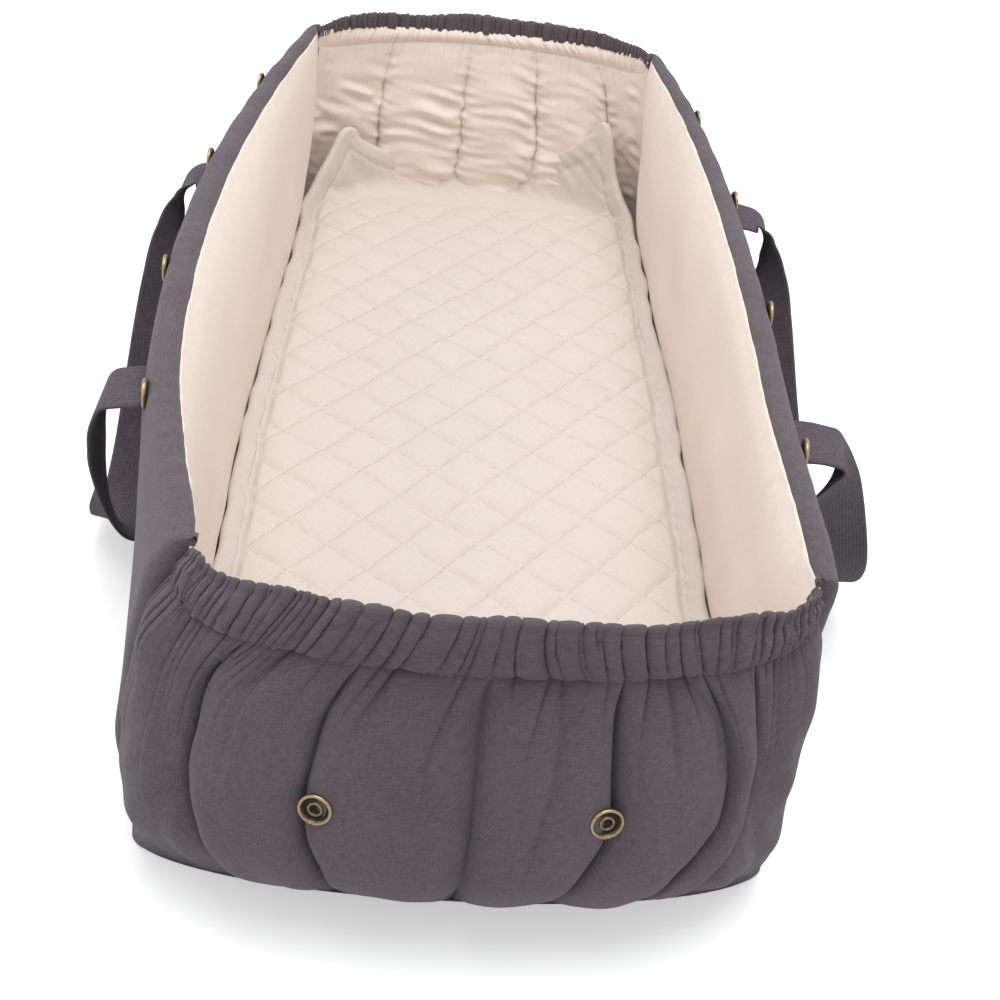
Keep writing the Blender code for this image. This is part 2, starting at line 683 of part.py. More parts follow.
def make_mattress():
    """Foam, its fitted cover and the quilted topper, which all lift out together."""
    bottom = FLOOR_TOP + GAP
    top = bottom + MATTRESS_HEIGHT
    cushion("mattress_cover", 0, bottom, top, "cream_cotton", MATTRESS_FABRIC)
    skin = MATTRESS_FABRIC + GAP
    cushion("mattress_foam", skin, bottom, top - skin, "foam")
    base = top + GAP
    bm = bmesh.new()
    bmesh.ops.create_grid(bm, x_segments=TOPPER_COLUMNS, y_segments=TOPPER_ROWS, size=0.5)
    bmesh.ops.triangulate(bm, faces=bm.faces[:])
    for vert in bm.verts:
        y = 2 * vert.co.y * MATTRESS_HALF_LENGTH
        x = 2 * vert.co.x * plan_half_width(y)
        vert.co = (x, y, base + topper_height(x, y))
    rim = [edge for edge in bm.edges if edge.is_boundary]
    low = [item for item in bmesh.ops.extrude_edge_only(bm, edges=rim)["geom"]
           if isinstance(item, bmesh.types.BMVert)]
    for vert in low:
        vert.co.z = base
    bmesh.ops.holes_fill(bm, edges=[edge for edge in bm.edges if edge.is_boundary])
    add_part("quilted_topper", bm, "cream_cotton", (0, 0, base))


PARTS, CUTTERS = start_collections()
make_floor()
side_parts = [make_side(side_name, side_way) for side_name, side_way in SIDES]
end_parts = [make_end(end) for end in (FRONT, BACK)]
for carrycot_end in (FRONT, BACK):
    make_casing(carrycot_end)
make_studs(side_parts, end_parts)
for side_name, side_way in SIDES:
    make_handle(side_name, side_way)
make_mattress()
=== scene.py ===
# %% [markdown]
# A soft carrycot: two foam side panels, two padded ends drawn in by elastic, a mattress with a
# quilted topper, webbing carrying loops and brass press studs. Every soft piece here is a surface
# worked out on a grid with numpy, because cloth is a sheet: two parameters say where each thread is.

# %% Load the frame
import math

import bpy
import numpy as np
from mathutils import Matrix, Vector


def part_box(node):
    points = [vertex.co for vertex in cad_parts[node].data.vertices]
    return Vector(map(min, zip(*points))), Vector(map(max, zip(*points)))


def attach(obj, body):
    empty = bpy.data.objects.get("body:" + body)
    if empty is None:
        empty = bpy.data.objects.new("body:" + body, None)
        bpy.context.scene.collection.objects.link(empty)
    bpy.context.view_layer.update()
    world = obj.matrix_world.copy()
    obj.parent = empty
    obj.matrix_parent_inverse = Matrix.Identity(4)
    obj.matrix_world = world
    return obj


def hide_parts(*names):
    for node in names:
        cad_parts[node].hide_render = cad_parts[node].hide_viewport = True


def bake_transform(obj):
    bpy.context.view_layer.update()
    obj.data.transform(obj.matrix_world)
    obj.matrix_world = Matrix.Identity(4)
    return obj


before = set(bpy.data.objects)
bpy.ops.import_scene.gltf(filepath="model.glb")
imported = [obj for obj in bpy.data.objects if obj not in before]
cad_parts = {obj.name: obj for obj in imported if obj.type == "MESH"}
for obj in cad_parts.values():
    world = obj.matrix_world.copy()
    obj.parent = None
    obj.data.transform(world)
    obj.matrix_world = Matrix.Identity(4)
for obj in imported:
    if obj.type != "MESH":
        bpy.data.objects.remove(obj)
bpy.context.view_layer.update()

# %% [markdown]
# The camera comes first, since every other decision is judged through it. It looks down into the
# carrycot from the foot end. The angles are a heading, a downward tilt and a small roll.

# %% Camera
CAMERA_PLACE = Vector((-0.0283, -0.7796, 0.5551))
CAMERA_HEADING = 0.0738
CAMERA_TILT = 0.6363
CAMERA_ROLL = 0.1122
CAMERA_LENS = 50.4


def aim_camera():
    """Camera whose axes are worked out from its heading, tilt and roll."""
    flat = math.cos(CAMERA_TILT)
    east, north = math.sin(CAMERA_HEADING) * flat, math.cos(CAMERA_HEADING) * flat
    ahead = Vector((east, north, -math.sin(CAMERA_TILT)))
    side = ahead.cross(Vector((0, 0, 1))).normalized()
    up = side.cross(ahead)
    right = math.cos(CAMERA_ROLL) * side + math.sin(CAMERA_ROLL) * up
    top = math.cos(CAMERA_ROLL) * up - math.sin(CAMERA_ROLL) * side
    data = bpy.data.cameras.new("camera")
    data.lens = CAMERA_LENS
    data.clip_start = 0.01
    camera = bpy.data.objects.new("camera", data)
    turned = Matrix((right, top, -ahead)).transposed().to_4x4()
    camera.matrix_world = Matrix.Translation(CAMERA_PLACE) @ turned
    bpy.context.scene.collection.objects.link(camera)
    bpy.context.scene.camera = camera


aim_camera()

# %% [markdown]
# The floor, the sky and every material are nets of nodes. One function adds a node and feeds it, so
# that the cells below can say what a net computes rather than how its links are made.

# %% Adding nodes
def feed(tree, node, inputs):
    """Give a node's inputs numbers or colours, or link them to other nodes or their outputs."""
    for label, value in inputs.items():
        if isinstance(value, bpy.types.Node):
            value = value.outputs[0]
        if isinstance(value, bpy.types.NodeSocket):
            tree.links.new(value, node.inputs[label])
        else:
            node.inputs[label].default_value = value


def add_node(tree, kind, inputs=None, **settings):
    """Add a shader node with its settings, then feed its inputs."""
    node = tree.nodes.new("ShaderNode" + kind)
    for label, value in settings.items():
        setattr(node, label, value)
    feed(tree, node, inputs or {})
    return node


def math_node(tree, operation, *values):
    """Output of one Math node."""
    return add_node(tree, "Math", dict(enumerate(values)), operation=operation).outputs[0]


def empty_tree(owner):
    """The node tree of a material or a world, switched on and emptied."""
    owner.use_nodes = True
    owner.node_tree.nodes.clear()
    return owner.node_tree


# %% [markdown]
# The studio is a plain pale floor under large soft lamps. The floor glows a little for the camera,
# so that it reads as white paper while the carrycot's shadow still darkens it.

# %% Floor, sky and lamps
FLOOR_HALF_SIZE = 6.0
FLOOR_DROP = 0.0004
FLOOR_GLOW = 0.42
PAPER = (0.82, 0.82, 0.82, 1)
SKY_STRENGTH = 0.62
SKY_TINT = (0.96, 0.98, 1, 1)
WHITE = (1, 1, 1, 1)
LAMP_TARGET = Vector((0, 0, 0.1))
# Name of each lamp, its place, the side of its square and its power
LAMPS = (
    ("overhead", (0.1, -0.15, 1.9), 1.4, 27),
    ("left_window", (-1.9, 0.2, 1.1), 1.4, 8),
    ("right_window", (1.7, 0.2, 1.5), 1.4, 2.5),
    ("front_fill", (0.2, -2.0, 1.7), 1.6, 1.5),
)


def make_floor():
    """A white floor that adds a glow of its own for the rays that reach the camera."""
    bpy.ops.mesh.primitive_plane_add(size=2 * FLOOR_HALF_SIZE, location=(0, 0, -FLOOR_DROP))
    floor = bpy.context.object
    floor.name = "studio_floor"
    material = bpy.data.materials.new("studio_paper")
    tree = empty_tree(material)
    seen = add_node(tree, "LightPath").outputs["Is Camera Ray"]
    glow = add_node(tree, "Emission", {"Strength": math_node(tree, "MULTIPLY", seen, FLOOR_GLOW)})
    paper = add_node(tree, "BsdfDiffuse", {"Color": PAPER})
    both = add_node(tree, "AddShader", {0: paper, 1: glow})
    add_node(tree, "OutputMaterial", {"Surface": both})
    floor.data.materials.append(material)


def make_sky():
    """A sky that is white to the camera and softer as a light."""
    world = bpy.data.worlds.new("studio")
    bpy.context.scene.world = world
    tree = empty_tree(world)
    path = add_node(tree, "LightPath").outputs
    seen = math_node(tree, "MAXIMUM", path["Is Camera Ray"], path["Is Glossy Ray"])
    soft = add_node(tree, "Background", {"Color": SKY_TINT, "Strength": SKY_STRENGTH})
    white = add_node(tree, "Background", {"Color": WHITE})
    mix = add_node(tree, "MixShader", {0: seen, 1: soft, 2: white})
    add_node(tree, "OutputWorld", {"Surface": mix})


def add_lamp(name, place, size, power):
    """A square area lamp that faces the carrycot."""
    data = bpy.data.lights.new(name, "AREA")
    data.size = size
    data.energy = power
    lamp = bpy.data.objects.new(name, data)
    lamp.location = place
    lamp.rotation_euler = (LAMP_TARGET - Vector(place)).to_track_quat("-Z", "Y").to_euler()
    bpy.context.scene.collection.objects.link(lamp)


make_floor()
make_sky()
for lamp_row in LAMPS:
    add_lamp(*lamp_row)

# %% [markdown]
# Cloth materials share three effects: a plain weave, slubs, which are the thicker and darker yarns
# of a cotton or linen cloth, and slow fading. Each is a node group that reads a map in metres, so
# the threads keep their real size on every piece.

# %% Node groups
SLUB_STRETCH = 0.14
SLUB_DETAIL = 2.0
FADE_DETAIL = 3.0


def new_group(name, vector, number, value, output):
    """A node group that reads a vector and a number; returns its tree and what it is given."""
    tree = bpy.data.node_groups.new(name, "ShaderNodeTree")
    tree.interface.new_socket(vector, in_out="INPUT", socket_type="NodeSocketVector")
    tree.interface.new_socket(number, in_out="INPUT", socket_type="NodeSocketFloat").default_value = value
    tree.interface.new_socket(output, in_out="OUTPUT", socket_type="NodeSocketFloat")
    return tree, tree.nodes.new("NodeGroupInput").outputs


def put_out(tree, value):
    """Link a value to the group's one output; returns the finished group."""
    tree.links.new(value, tree.nodes.new("NodeGroupOutput").inputs[0])
    return tree


def make_weave_group():
    """Plain weave: two sets of threads that pass over each other by turns, like a chequerboard."""
    tree, given = new_group("plain_weave", "Map", "Threads", 1200.0, "Height")
    split = add_node(tree, "SeparateXYZ", {0: given["Map"]}).outputs
    turns = math_node(tree, "MULTIPLY", given["Threads"], math.pi)
    across = math_node(tree, "SINE", math_node(tree, "MULTIPLY", split[0], turns))
    along = math_node(tree, "SINE", math_node(tree, "MULTIPLY", split[1], turns))
    cross = math_node(tree, "MULTIPLY", across, along)
    return put_out(tree, math_node(tree, "MULTIPLY_ADD", cross, 0.5, 0.5))


def make_slub_group():
    """Uneven yarns: noise drawn out along one thread direction, and again along the other."""
    tree, given = new_group("slubs", "Map", "Fineness", 900.0, "Mask")
    masks = []
    for stretch in ((SLUB_STRETCH, 1, 1), (1, SLUB_STRETCH, 1)):
        drawn = add_node(tree, "VectorMath", {0: given["Map"], 1: stretch}, operation="MULTIPLY")
        noise = {"Vector": drawn, "Scale": given["Fineness"], "Detail": SLUB_DETAIL}
        masks.append(add_node(tree, "TexNoise", noise).outputs["Fac"])
    return put_out(tree, math_node(tree, "MULTIPLY", math_node(tree, "ADD", *masks), 0.5))


def make_fade_group():
    """Slow change of tone over a hand's width, as washed and handled cloth has."""
    tree, given = new_group("fading", "Place", "Scale", 14.0, "Mask")
    noise = {"Vector": given["Place"], "Scale": given["Scale"], "Detail": FADE_DETAIL}
    return put_out(tree, add_node(tree, "TexNoise", noise).outputs["Fac"])


WEAVE = make_weave_group()
SLUBS = make_slub_group()
FADING = make_fade_group()

# %% [markdown]
# One function makes each woven finish. The two yarn colours are close together, so what the eye
# reads as cloth is mostly the small change of tone, with a weak bump on top.

# %% Cloth materials
SLUB_FINENESS = 0.85
SLUB_SPREAD = (0.36, 0.64)
FADE_SCALE = 14.0
FINE_SHARE = 0.65
THREAD_RELIEF = 0.3
CLOTH_SURFACE = {"Roughness": 0.9, "Sheen Roughness": 0.6, "Specular IOR Level": 0.2}


def place_group(tree, group, inputs):
    """Output of a node group placed in a material."""
    return add_node(tree, "Group", inputs, node_tree=group).outputs[0]


def spread(tree, mask, low, high):
    """Stretch a noise mask so that low becomes 0 and high becomes 1."""
    node = add_node(tree, "MapRange", {"Value": mask, "From Min": low, "From Max": high})
    return node.outputs["Result"]


def mix_colors(tree, mask, dark, light):
    """Mix two colours by a mask."""
    colors = {0: mask, 6: (*dark, 1), 7: (*light, 1)}
    return add_node(tree, "Mix", colors, data_type="RGBA").outputs[2]


def blend_masks(tree, fine, coarse):
    """Weighted sum of a fine mask and a coarse one."""
    return math_node(tree, "MULTIPLY_ADD", coarse, 1 - FINE_SHARE,
                     math_node(tree, "MULTIPLY", fine, FINE_SHARE))


def woven(name, dark, light, threads, bump, sheen):
    """A cloth material: slubs and fading move the colour between two yarns, and the weave is a bump."""
    material = bpy.data.materials.new(name)
    material.use_nodes = True
    tree = material.node_tree
    cloth_map = add_node(tree, "UVMap").outputs[0]
    place = add_node(tree, "TexCoord").outputs["Object"]
    slubs = place_group(tree, SLUBS, {"Map": cloth_map, "Fineness": threads * SLUB_FINENESS})
    yarn = spread(tree, slubs, *SLUB_SPREAD)
    fade = place_group(tree, FADING, {"Place": place, "Scale": FADE_SCALE})
    weave = place_group(tree, WEAVE, {"Map": cloth_map, "Threads": threads})
    height = blend_masks(tree, weave, yarn)
    relief = {"Strength": bump, "Distance": THREAD_RELIEF / threads, "Height": height}
    color = mix_colors(tree, blend_masks(tree, yarn, fade), dark, light)
    feed(tree, tree.nodes["Principled BSDF"], {
        **CLOTH_SURFACE, "Sheen Weight": sheen, "Base Color": color,
        "Normal": add_node(tree, "Bump", relief),
    })
    return material


CANVAS = woven("grey_canvas", (0.066, 0.051, 0.060), (0.142, 0.116, 0.132), 1700.0, 0.6, 0.12)
COTTON = woven("cream_cotton", (0.76, 0.655, 0.575), (0.86, 0.765, 0.69), 2200.0, 0.25, 0.1)
QUILT = woven("quilt_cotton", (0.59, 0.523, 0.474), (0.68, 0.613, 0.564), 2200.0, 0.25, 0.1)
THREAD = woven("grey_thread", (0.14, 0.12, 0.14), (0.22, 0.19, 0.22), 3000.0, 0.3, 0.1)
CREAM_THREAD = woven("cream_thread", (0.62, 0.55, 0.49), (0.71, 0.64, 0.58), 3000.0, 0.3, 0.1)
WEBBING = woven("grey_webbing", (0.048, 0.038, 0.047), (0.118, 0.097, 0.114), 1300.0, 0.6, 0.1)
BOARD = woven("fibre_board", (0.28, 0.20, 0.13), (0.42, 0.31, 0.21), 600.0, 0.3, 0.0)

# %% [markdown]
# Every sheet is a grid of points turned into four-sided faces, with a UV map measured in metres along
# the rows and columns. A shell gives it a cloth's thickness, with the rim closed.

# %% Grids into meshes
def travelled(points, axis=0):
    """Distance travelled along an axis of a path or grid, in metres, from its first point."""
    steps = np.linalg.norm(np.diff(points, axis=axis), axis=-1)
    zero = np.zeros_like(np.take(steps, [0], axis=axis))
    return np.concatenate([zero, np.cumsum(steps, axis=axis)], axis=axis)


def unit(vectors):
    """Vectors scaled to length 1."""
    return vectors / np.maximum(np.linalg.norm(vectors, axis=-1, keepdims=True), 1e-12)


def normals(points):
    """Unit normal at each point of a grid: the cross product of its two directions."""
    return unit(np.cross(np.gradient(points, axis=1), np.gradient(points, axis=0)))


def build_mesh(name, verts, faces, material, uvs=None):
    """Mesh object from arrays: verts (n, 3), a list of face arrays, and one uv for each vertex."""
    corners = np.concatenate([group.ravel() for group in faces]).astype(np.int32)
    sizes = np.concatenate([np.full(len(group), group.shape[1]) for group in faces])
    starts = np.concatenate([[0], np.cumsum(sizes)[:-1]]).astype(np.int32)
    mesh = bpy.data.meshes.new(name)
    mesh.vertices.add(len(verts))
    mesh.vertices.foreach_set("co", verts.astype(np.float32).ravel())
    mesh.loops.add(len(corners))
    mesh.loops.foreach_set("vertex_index", corners)
    mesh.polygons.add(len(starts))
    mesh.polygons.foreach_set("loop_start", starts)
    mesh.update(calc_edges=True)
    if uvs is not None:
        layer = mesh.uv_layers.new(name="UVMap")
        layer.data.foreach_set("uv", uvs[corners].astype(np.float32).ravel())
    mesh.validate()
    mesh.polygons.foreach_set("use_smooth", np.ones(len(mesh.polygons), bool))
    mesh.materials.append(material)
    piece = bpy.data.objects.new(name, mesh)
    bpy.context.scene.collection.objects.link(piece)
    return piece


def grid_faces(index, flip=False):
    """Four-sided faces between neighbouring points of a grid of vertex numbers."""
    corners = [index[:-1, :-1], index[:-1, 1:], index[1:, 1:], index[1:, :-1]]
    quads = np.stack(corners, axis=2).reshape(-1, 4)
    return quads[:, ::-1] if flip else quads


def ring_order(index):
    """Vertex numbers once round the border of a grid."""
    return np.concatenate([index[0, :-1], index[:-1, -1], index[-1, :0:-1], index[:0:-1, 0]])


def shell(name, outer, thickness, material, back=None, step=2):
    """Closed cloth: an outer grid whose normals point out, a coarser back under it, and a rim.

    The back keeps one row and column in every step of them, since nobody sees it, and each face of the
    rim joins one of its edges to the step front edges beside it.
    """
    rows, columns = outer.shape[:2]
    if back is None:
        back = outer - normals(outer) * thickness
    back = back[::step, ::step]
    front_index = np.arange(rows * columns).reshape(rows, columns)
    back_index = rows * columns + np.arange(back.shape[0] * back.shape[1]).reshape(back.shape[:2])
    border, behind = ring_order(front_index), ring_order(back_index)
    strips = np.stack([np.roll(border, -k)[::step] for k in range(step + 1)][::-1], axis=1)
    rim = np.concatenate([strips, np.stack([behind, np.roll(behind, -1)], axis=1)], axis=1)
    faces = [grid_faces(front_index), grid_faces(back_index, True), rim]
    flat = np.stack([travelled(outer, 1), travelled(outer, 0)], axis=2)
    uvs = np.concatenate([flat.reshape(-1, 2), flat[::step, ::step].reshape(-1, 2)])
    verts = np.concatenate([outer.reshape(-1, 3), back.reshape(-1, 3)])
    return build_mesh(name, verts, faces, material, uvs)


def tube_faces(rows, columns):
    """Faces of a grid whose last column joins its first, and a cap on its first and last row."""
    index = np.arange(rows * columns).reshape(rows, columns)
    after = np.roll(index, -1, axis=1)
    walls = np.stack([index[:-1], after[:-1], after[1:], index[1:]], axis=2).reshape(-1, 4)
    return [walls, np.stack([index[0, ::-1], index[-1]])]


def declare(piece, body, nodes=()):
    """Hide the CAD nodes a piece stands for, and attach the piece to its body."""
    if nodes:
        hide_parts(*nodes)
    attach(piece, body)


# %% [markdown]
# Cloth is never even, so four small tools are used everywhere: a curve through a few given
# values, a smooth step, slow waves with fixed seeds, and marks with uneven steps between them.

# %% Curves, steps, waves and marks
def curve(at, places, values):
    """Smooth curve through (place, value) pairs: a cubic between neighbours with averaged slopes."""
    places, values = np.asarray(places, float), np.asarray(values, float)
    slopes = np.gradient(values, places)
    at = np.clip(at, places[0], places[-1])
    span = np.clip(np.searchsorted(places, at, side="right") - 1, 0, len(places) - 2)
    width = places[span + 1] - places[span]
    t = (at - places[span]) / width
    rise = t * t * (3 - 2 * t)
    start, finish = slopes[span] * width, slopes[span + 1] * width
    bend = t * (1 - t) * ((1 - t) * start - t * finish)
    return values[span] * (1 - rise) + values[span + 1] * rise + bend


def ease(low, high, value):
    """0 below low, 1 above high, and a smooth step between."""
    t = np.clip((value - low) / (high - low), 0, 1)
    return t * t * (3 - 2 * t)


def waves(a, b, wavelength, seed, count=7):
    """Slow uneven hills from -1 to 1: a few sine waves in seeded directions."""
    rng = np.random.default_rng(seed)
    total = 0
    for _ in range(count):
        turn, shift = rng.uniform(0, math.pi), rng.uniform(0, 2 * math.pi)
        size = rng.uniform(0.7, 1.6)
        way = (a * math.cos(turn) + b * math.sin(turn)) / (wavelength * size)
        total = total + np.sin(2 * math.pi * way + shift)
    return total / math.sqrt(count)


def uneven_marks(count, seed, low=0.45, high=1.8):
    """Places from 0 to 1 with uneven steps between them."""
    steps = np.random.default_rng(seed).uniform(low, high, count)
    marks = np.concatenate([[0], np.cumsum(steps)])
    return marks / marks[-1]


# %% [markdown]
# The side panels lean out a little and bow along their length. Their width at any place is one
# formula, which the ends and the floor use as well. The gathers of the two ends don't pull evenly, so
# the rim also drifts sideways, most of all at the front corners, and not at all at the floor.

# %% Body of the carrycot
HALF_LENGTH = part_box("right_side_cover")[1].y
RIM_HEIGHT = 0.188
FOOT_HALF_WIDTH = 0.172
FOOT_NARROWING = 0.002
SIDE_LEAN = 0.002
RIM_NARROWING = 0.026
FOOT = 0.0015
CLOTH = 0.0012
SEAM_DEPTH = 0.0150
DRIFT_ALONG = (-0.40, -0.315, -0.25, -0.20, -0.10, 0.02, 0.18, 0.30, 0.40)
DRIFT_ASIDE = (0.0135, 0.0130, 0.0050, -0.0010, -0.0045, -0.0045, -0.0010, 0.0015, 0.0015)


def half_width(y, z):
    """Half width of the carrycot outside, at a place along it and a height."""
    along = np.clip(np.abs(y) / HALF_LENGTH, 0, 1) ** 2
    foot = FOOT_HALF_WIDTH - FOOT_NARROWING * along
    rim = FOOT_HALF_WIDTH - SIDE_LEAN - RIM_NARROWING * along
    return foot + (rim - foot) * z / RIM_HEIGHT


def drift(y, z):
    """Sideways shift of a place: a curve along the length, times the fourth power of the height."""
    return curve(y, DRIFT_ALONG, DRIFT_ASIDE) * np.clip(z / RIM_HEIGHT, 0, 1.03) ** 4


def settled(x, y, z):
    """Points with the drift added, as one array."""
    return np.stack([x + drift(y, z), y, z], axis=-1)


# %% [markdown]
# A side cover is one cloth: up the outside, over the rim as a 16 mm strip, and down to the seam with
# the lining. Its ends turn round the foam's corners, because the padded ends are sewn to the panel's
# narrow end face. The two turns are combined with a fourth-power sum, which keeps the corner soft.

# %% Side covers
SECTION_ALONG = (0.0, 0.35, 0.70, 0.86, 0.91, 0.95, 0.985, 1.0)
SECTION_DEPTH = (0.0005, -0.0010, -0.0004, 0.0006, 0.0030, 0.0078, 0.0128, 0.0150)
SECTION_DROP = (0.1865, 0.120, 0.056, 0.018, 0.0052, 0.0006, 0.0016, 0.0048)
WRAP_RADIUS = 0.009
WRAP_DEPTH = 0.0148
WRAP_TUCK = 0.004
SIDE_COLUMNS = 244
SIDE_ROWS = 109
CORNER_PLEATS = 0.0032
CORNER_PLEAT_DEPTH = 0.0011
RIM_WAVE = 0.0005
RIM_RIPPLE = 0.0002
LEFT_BULGE = 0.0060
RIGHT_BULGE = 0.0015
BULGE_HEIGHT = 0.150
BULGE_REACH = 0.055
RIM_TURN = (0.165, 0.18)
SLOW_WAVE = 0.0014
SHORT_WAVE = 0.0003
FOOT_TUCK = 0.0150
SEAM_TURN = 0.0025


def side_stations():
    """Columns of a side panel: place along the length and how far round its end it has turned in."""
    straight = HALF_LENGTH - WRAP_RADIUS
    turn = np.linspace(0, math.pi / 2, 9)[1:]
    flat = np.linspace(WRAP_RADIUS, WRAP_DEPTH, 5)[1:]
    end_y = np.concatenate([straight + WRAP_RADIUS * np.sin(turn), np.full(4, HALF_LENGTH),
                            HALF_LENGTH - WRAP_TUCK * np.array([0.4, 1])])
    end_depth = np.concatenate([WRAP_RADIUS * (1 - np.cos(turn)), flat, np.full(2, WRAP_DEPTH)])
    y = np.concatenate([-end_y[::-1], np.linspace(-straight, straight, SIDE_COLUMNS + 1), end_y])
    wrap = np.concatenate([end_depth[::-1], np.zeros(SIDE_COLUMNS + 1), end_depth])
    return y, wrap


def foot_tuck(y, z):
    """How far the panel's lower corners are drawn in under the padded ends."""
    return FOOT_TUCK * ease(0.255, HALF_LENGTH, np.abs(y)) ** 2 * (1 - ease(0.0, 0.07, z))


def seam_turn(y):
    """How far the rim's inner edge turns back towards the outside at the panel's two ends."""
    return SEAM_TURN * ease(HALF_LENGTH - 0.018, HALF_LENGTH, np.abs(y))


def side_cover(way):
    """Outer surface of a side panel, foot to inner seam in rows, front to back in columns."""
    y, wrap = side_stations()
    along = np.linspace(0, 1, SIDE_ROWS)[:, None]
    section = curve(along, SECTION_ALONG, SECTION_DEPTH)
    z = RIM_HEIGHT - curve(along, SECTION_ALONG, SECTION_DROP) + 0 * y
    y = y + 0 * z
    outside = ease(0.02, 0.06, z) * (1 - ease(*RIM_TURN, z))
    soft = waves(y, z, 0.16, 3 if way < 0 else 4) * SLOW_WAVE + waves(y, z, 0.05, 7) * SHORT_WAVE
    bulge = (LEFT_BULGE if way < 0 else RIGHT_BULGE) * np.exp(-((z - BULGE_HEIGHT) / BULGE_REACH) ** 2)
    bulge = bulge * (1 - (y / HALF_LENGTH) ** 2) * (1 - ease(0.003, SEAM_DEPTH, section))
    depth = (np.maximum(section, 0) ** 4 + wrap ** 4) ** 0.25 + np.minimum(section, 0)
    deepest = SEAM_DEPTH - seam_turn(y) * ease(*RIM_TURN, z)
    depth = np.minimum(depth + foot_tuck(y, z), deepest) - soft * outside - bulge
    rim = ease(0.80, 0.95, along)
    ripple = waves(y, 0 * y, 0.035, 11) * RIM_WAVE + waves(y, 0 * y, 0.012, 12) * RIM_RIPPLE
    corner = ease(0.296, 0.312, np.abs(y)) * ease(0.93, 0.99, along)
    pleats = np.abs(np.sin(math.pi * (y + 0.4 * section) / CORNER_PLEATS)) ** 0.7 - 0.6
    z = z + ripple * rim + CORNER_PLEAT_DEPTH * pleats * corner
    points = settled(way * (half_width(y, z) - depth), y, z)
    return points if way > 0 else points[:, ::-1]


def add_side_pieces(kind, surface, thickness, material, parts):
    """A cover or a lining on each side panel, standing for its CAD nodes; returns their grids."""
    grids = {}
    for name, way in (("left", -1), ("right", 1)):
        grids[name] = surface(way)
        piece = shell(f"{name}_panel_{kind}", grids[name], thickness, material)
        declare(piece, "carrycot", [f"{name}_side_{part}" for part in parts])
    return grids


SIDE_GRIDS = add_side_pieces("cover", side_cover, CLOTH, CANVAS, ("cover", "foam"))

# %% [markdown]
# The lining is padded: it swells quickly under the rim seam, so its upper part faces up and catches
# the light, and it has faint diagonal drag lines where it is pulled to the seams.

# %% Side linings
LINING_CLOTH = 0.001
LINING_FOOT = 0.006
LINING_TOP_DROP = 0.0042
LINING_FOOT_DRAW = 0.0020
LINING_OVERLAP = 0.0005
LINING_WAVE = 0.0012
DRAG_LINES = 0.0003
SEAM_PUCKER = 0.0004
LINING_UP = (0.0, 0.08, 0.25, 0.5, 0.72, 0.86, 0.94, 1.0)
LINING_SWELL = (0.0040, 0.0100, 0.0150, 0.0160, 0.0138, 0.0098, 0.0054, 0.0)
LINING_ROWS = 91
LINING_COLUMNS = 281


def side_lining(way):
    """Inner face of a side panel, floor to rim seam in rows, front to back in columns."""
    up = np.linspace(0, 1, LINING_ROWS)[:, None] ** 0.85
    place = np.linspace(-1, 1, LINING_COLUMNS)[None, :]
    z = LINING_FOOT + (RIM_HEIGHT - LINING_TOP_DROP - LINING_FOOT) * up
    reach = HALF_LENGTH + LINING_OVERLAP - LINING_FOOT_DRAW * (1 - ease(0.02, 0.08, z))
    y, z = (0.35 * np.sin(place * math.pi / 2) + 0.65 * place) * reach, z + 0 * place
    corner = np.maximum(1 - (np.abs(y) / HALF_LENGTH) ** 24, 0)
    swell = curve(up, LINING_UP, LINING_SWELL) * (1 - 0.45 * (np.abs(y) / HALF_LENGTH) ** 4) * corner
    body = np.clip(np.sin(math.pi * up), 0, 1) ** 0.7 * corner
    soft = waves(y, z * 2, 0.20, 21 if way < 0 else 22) * LINING_WAVE
    drag = waves(y + 0.6 * z, z * 0.25, 0.045, 23 if way < 0 else 24) * DRAG_LINES
    pucker = waves(y, 0 * y, 0.011, 25) * SEAM_PUCKER * ease(0.90, 0.99, up)
    pucker = pucker * (1 - ease(0.985, 1.0, up))
    depth = SEAM_DEPTH + swell + (soft + drag) * body + pucker - seam_turn(y) * ease(0.90, 1, up)
    points = settled(way * (half_width(y, z) - depth), y, z)
    return points[:, ::-1] if way > 0 else points


LINING_GRIDS = add_side_pieces("lining", side_lining, LINING_CLOTH, COTTON, ("lining",))

# %% [markdown]
# Each padded end is one surface with channels. A crease is a line whose place round the end changes
# with height, and the columns of the grid follow those lines, so every crease falls exactly on a
# column and stays sharp. Between two creases the cloth swells. Where the elastic draws the top in,
# folds start at the stitch line and die out below it.

# %% Shape of the padded ends
END_BULGE = 0.068
END_INSIDE = 0.034
PAD_ROUND = 2.6
FOOT_ROUND = 2.0
FOOT_DRAW = 0.0020
END_ARC = 0.21
RIM_ROUND = 2.0
COVER_SEAM = 0.0125
LINING_SEAM = 0.0150
STITCH_HEIGHT = 0.1585
STITCH_LIFT = 0.016
BACK_RIM_RISE = 0.0065
PROFILE_UP = (0.0, 0.06, 0.16, 0.25, 0.34, 0.52, 0.70, 0.86, 1.0)
OUTER_DEPTH = (0.46, 0.58, 0.77, 0.91, 0.99, 0.985, 0.88, 0.74, 0.62)
INNER_DEPTH = (0.71, 0.70, 0.69, 0.67, 0.66, 0.68, 0.76, 0.87, 1.00)
COLUMN_CROWD = 0.075
CREASE_UP = (0.0, 0.3, 0.5, 0.7, 0.85, 1.0)
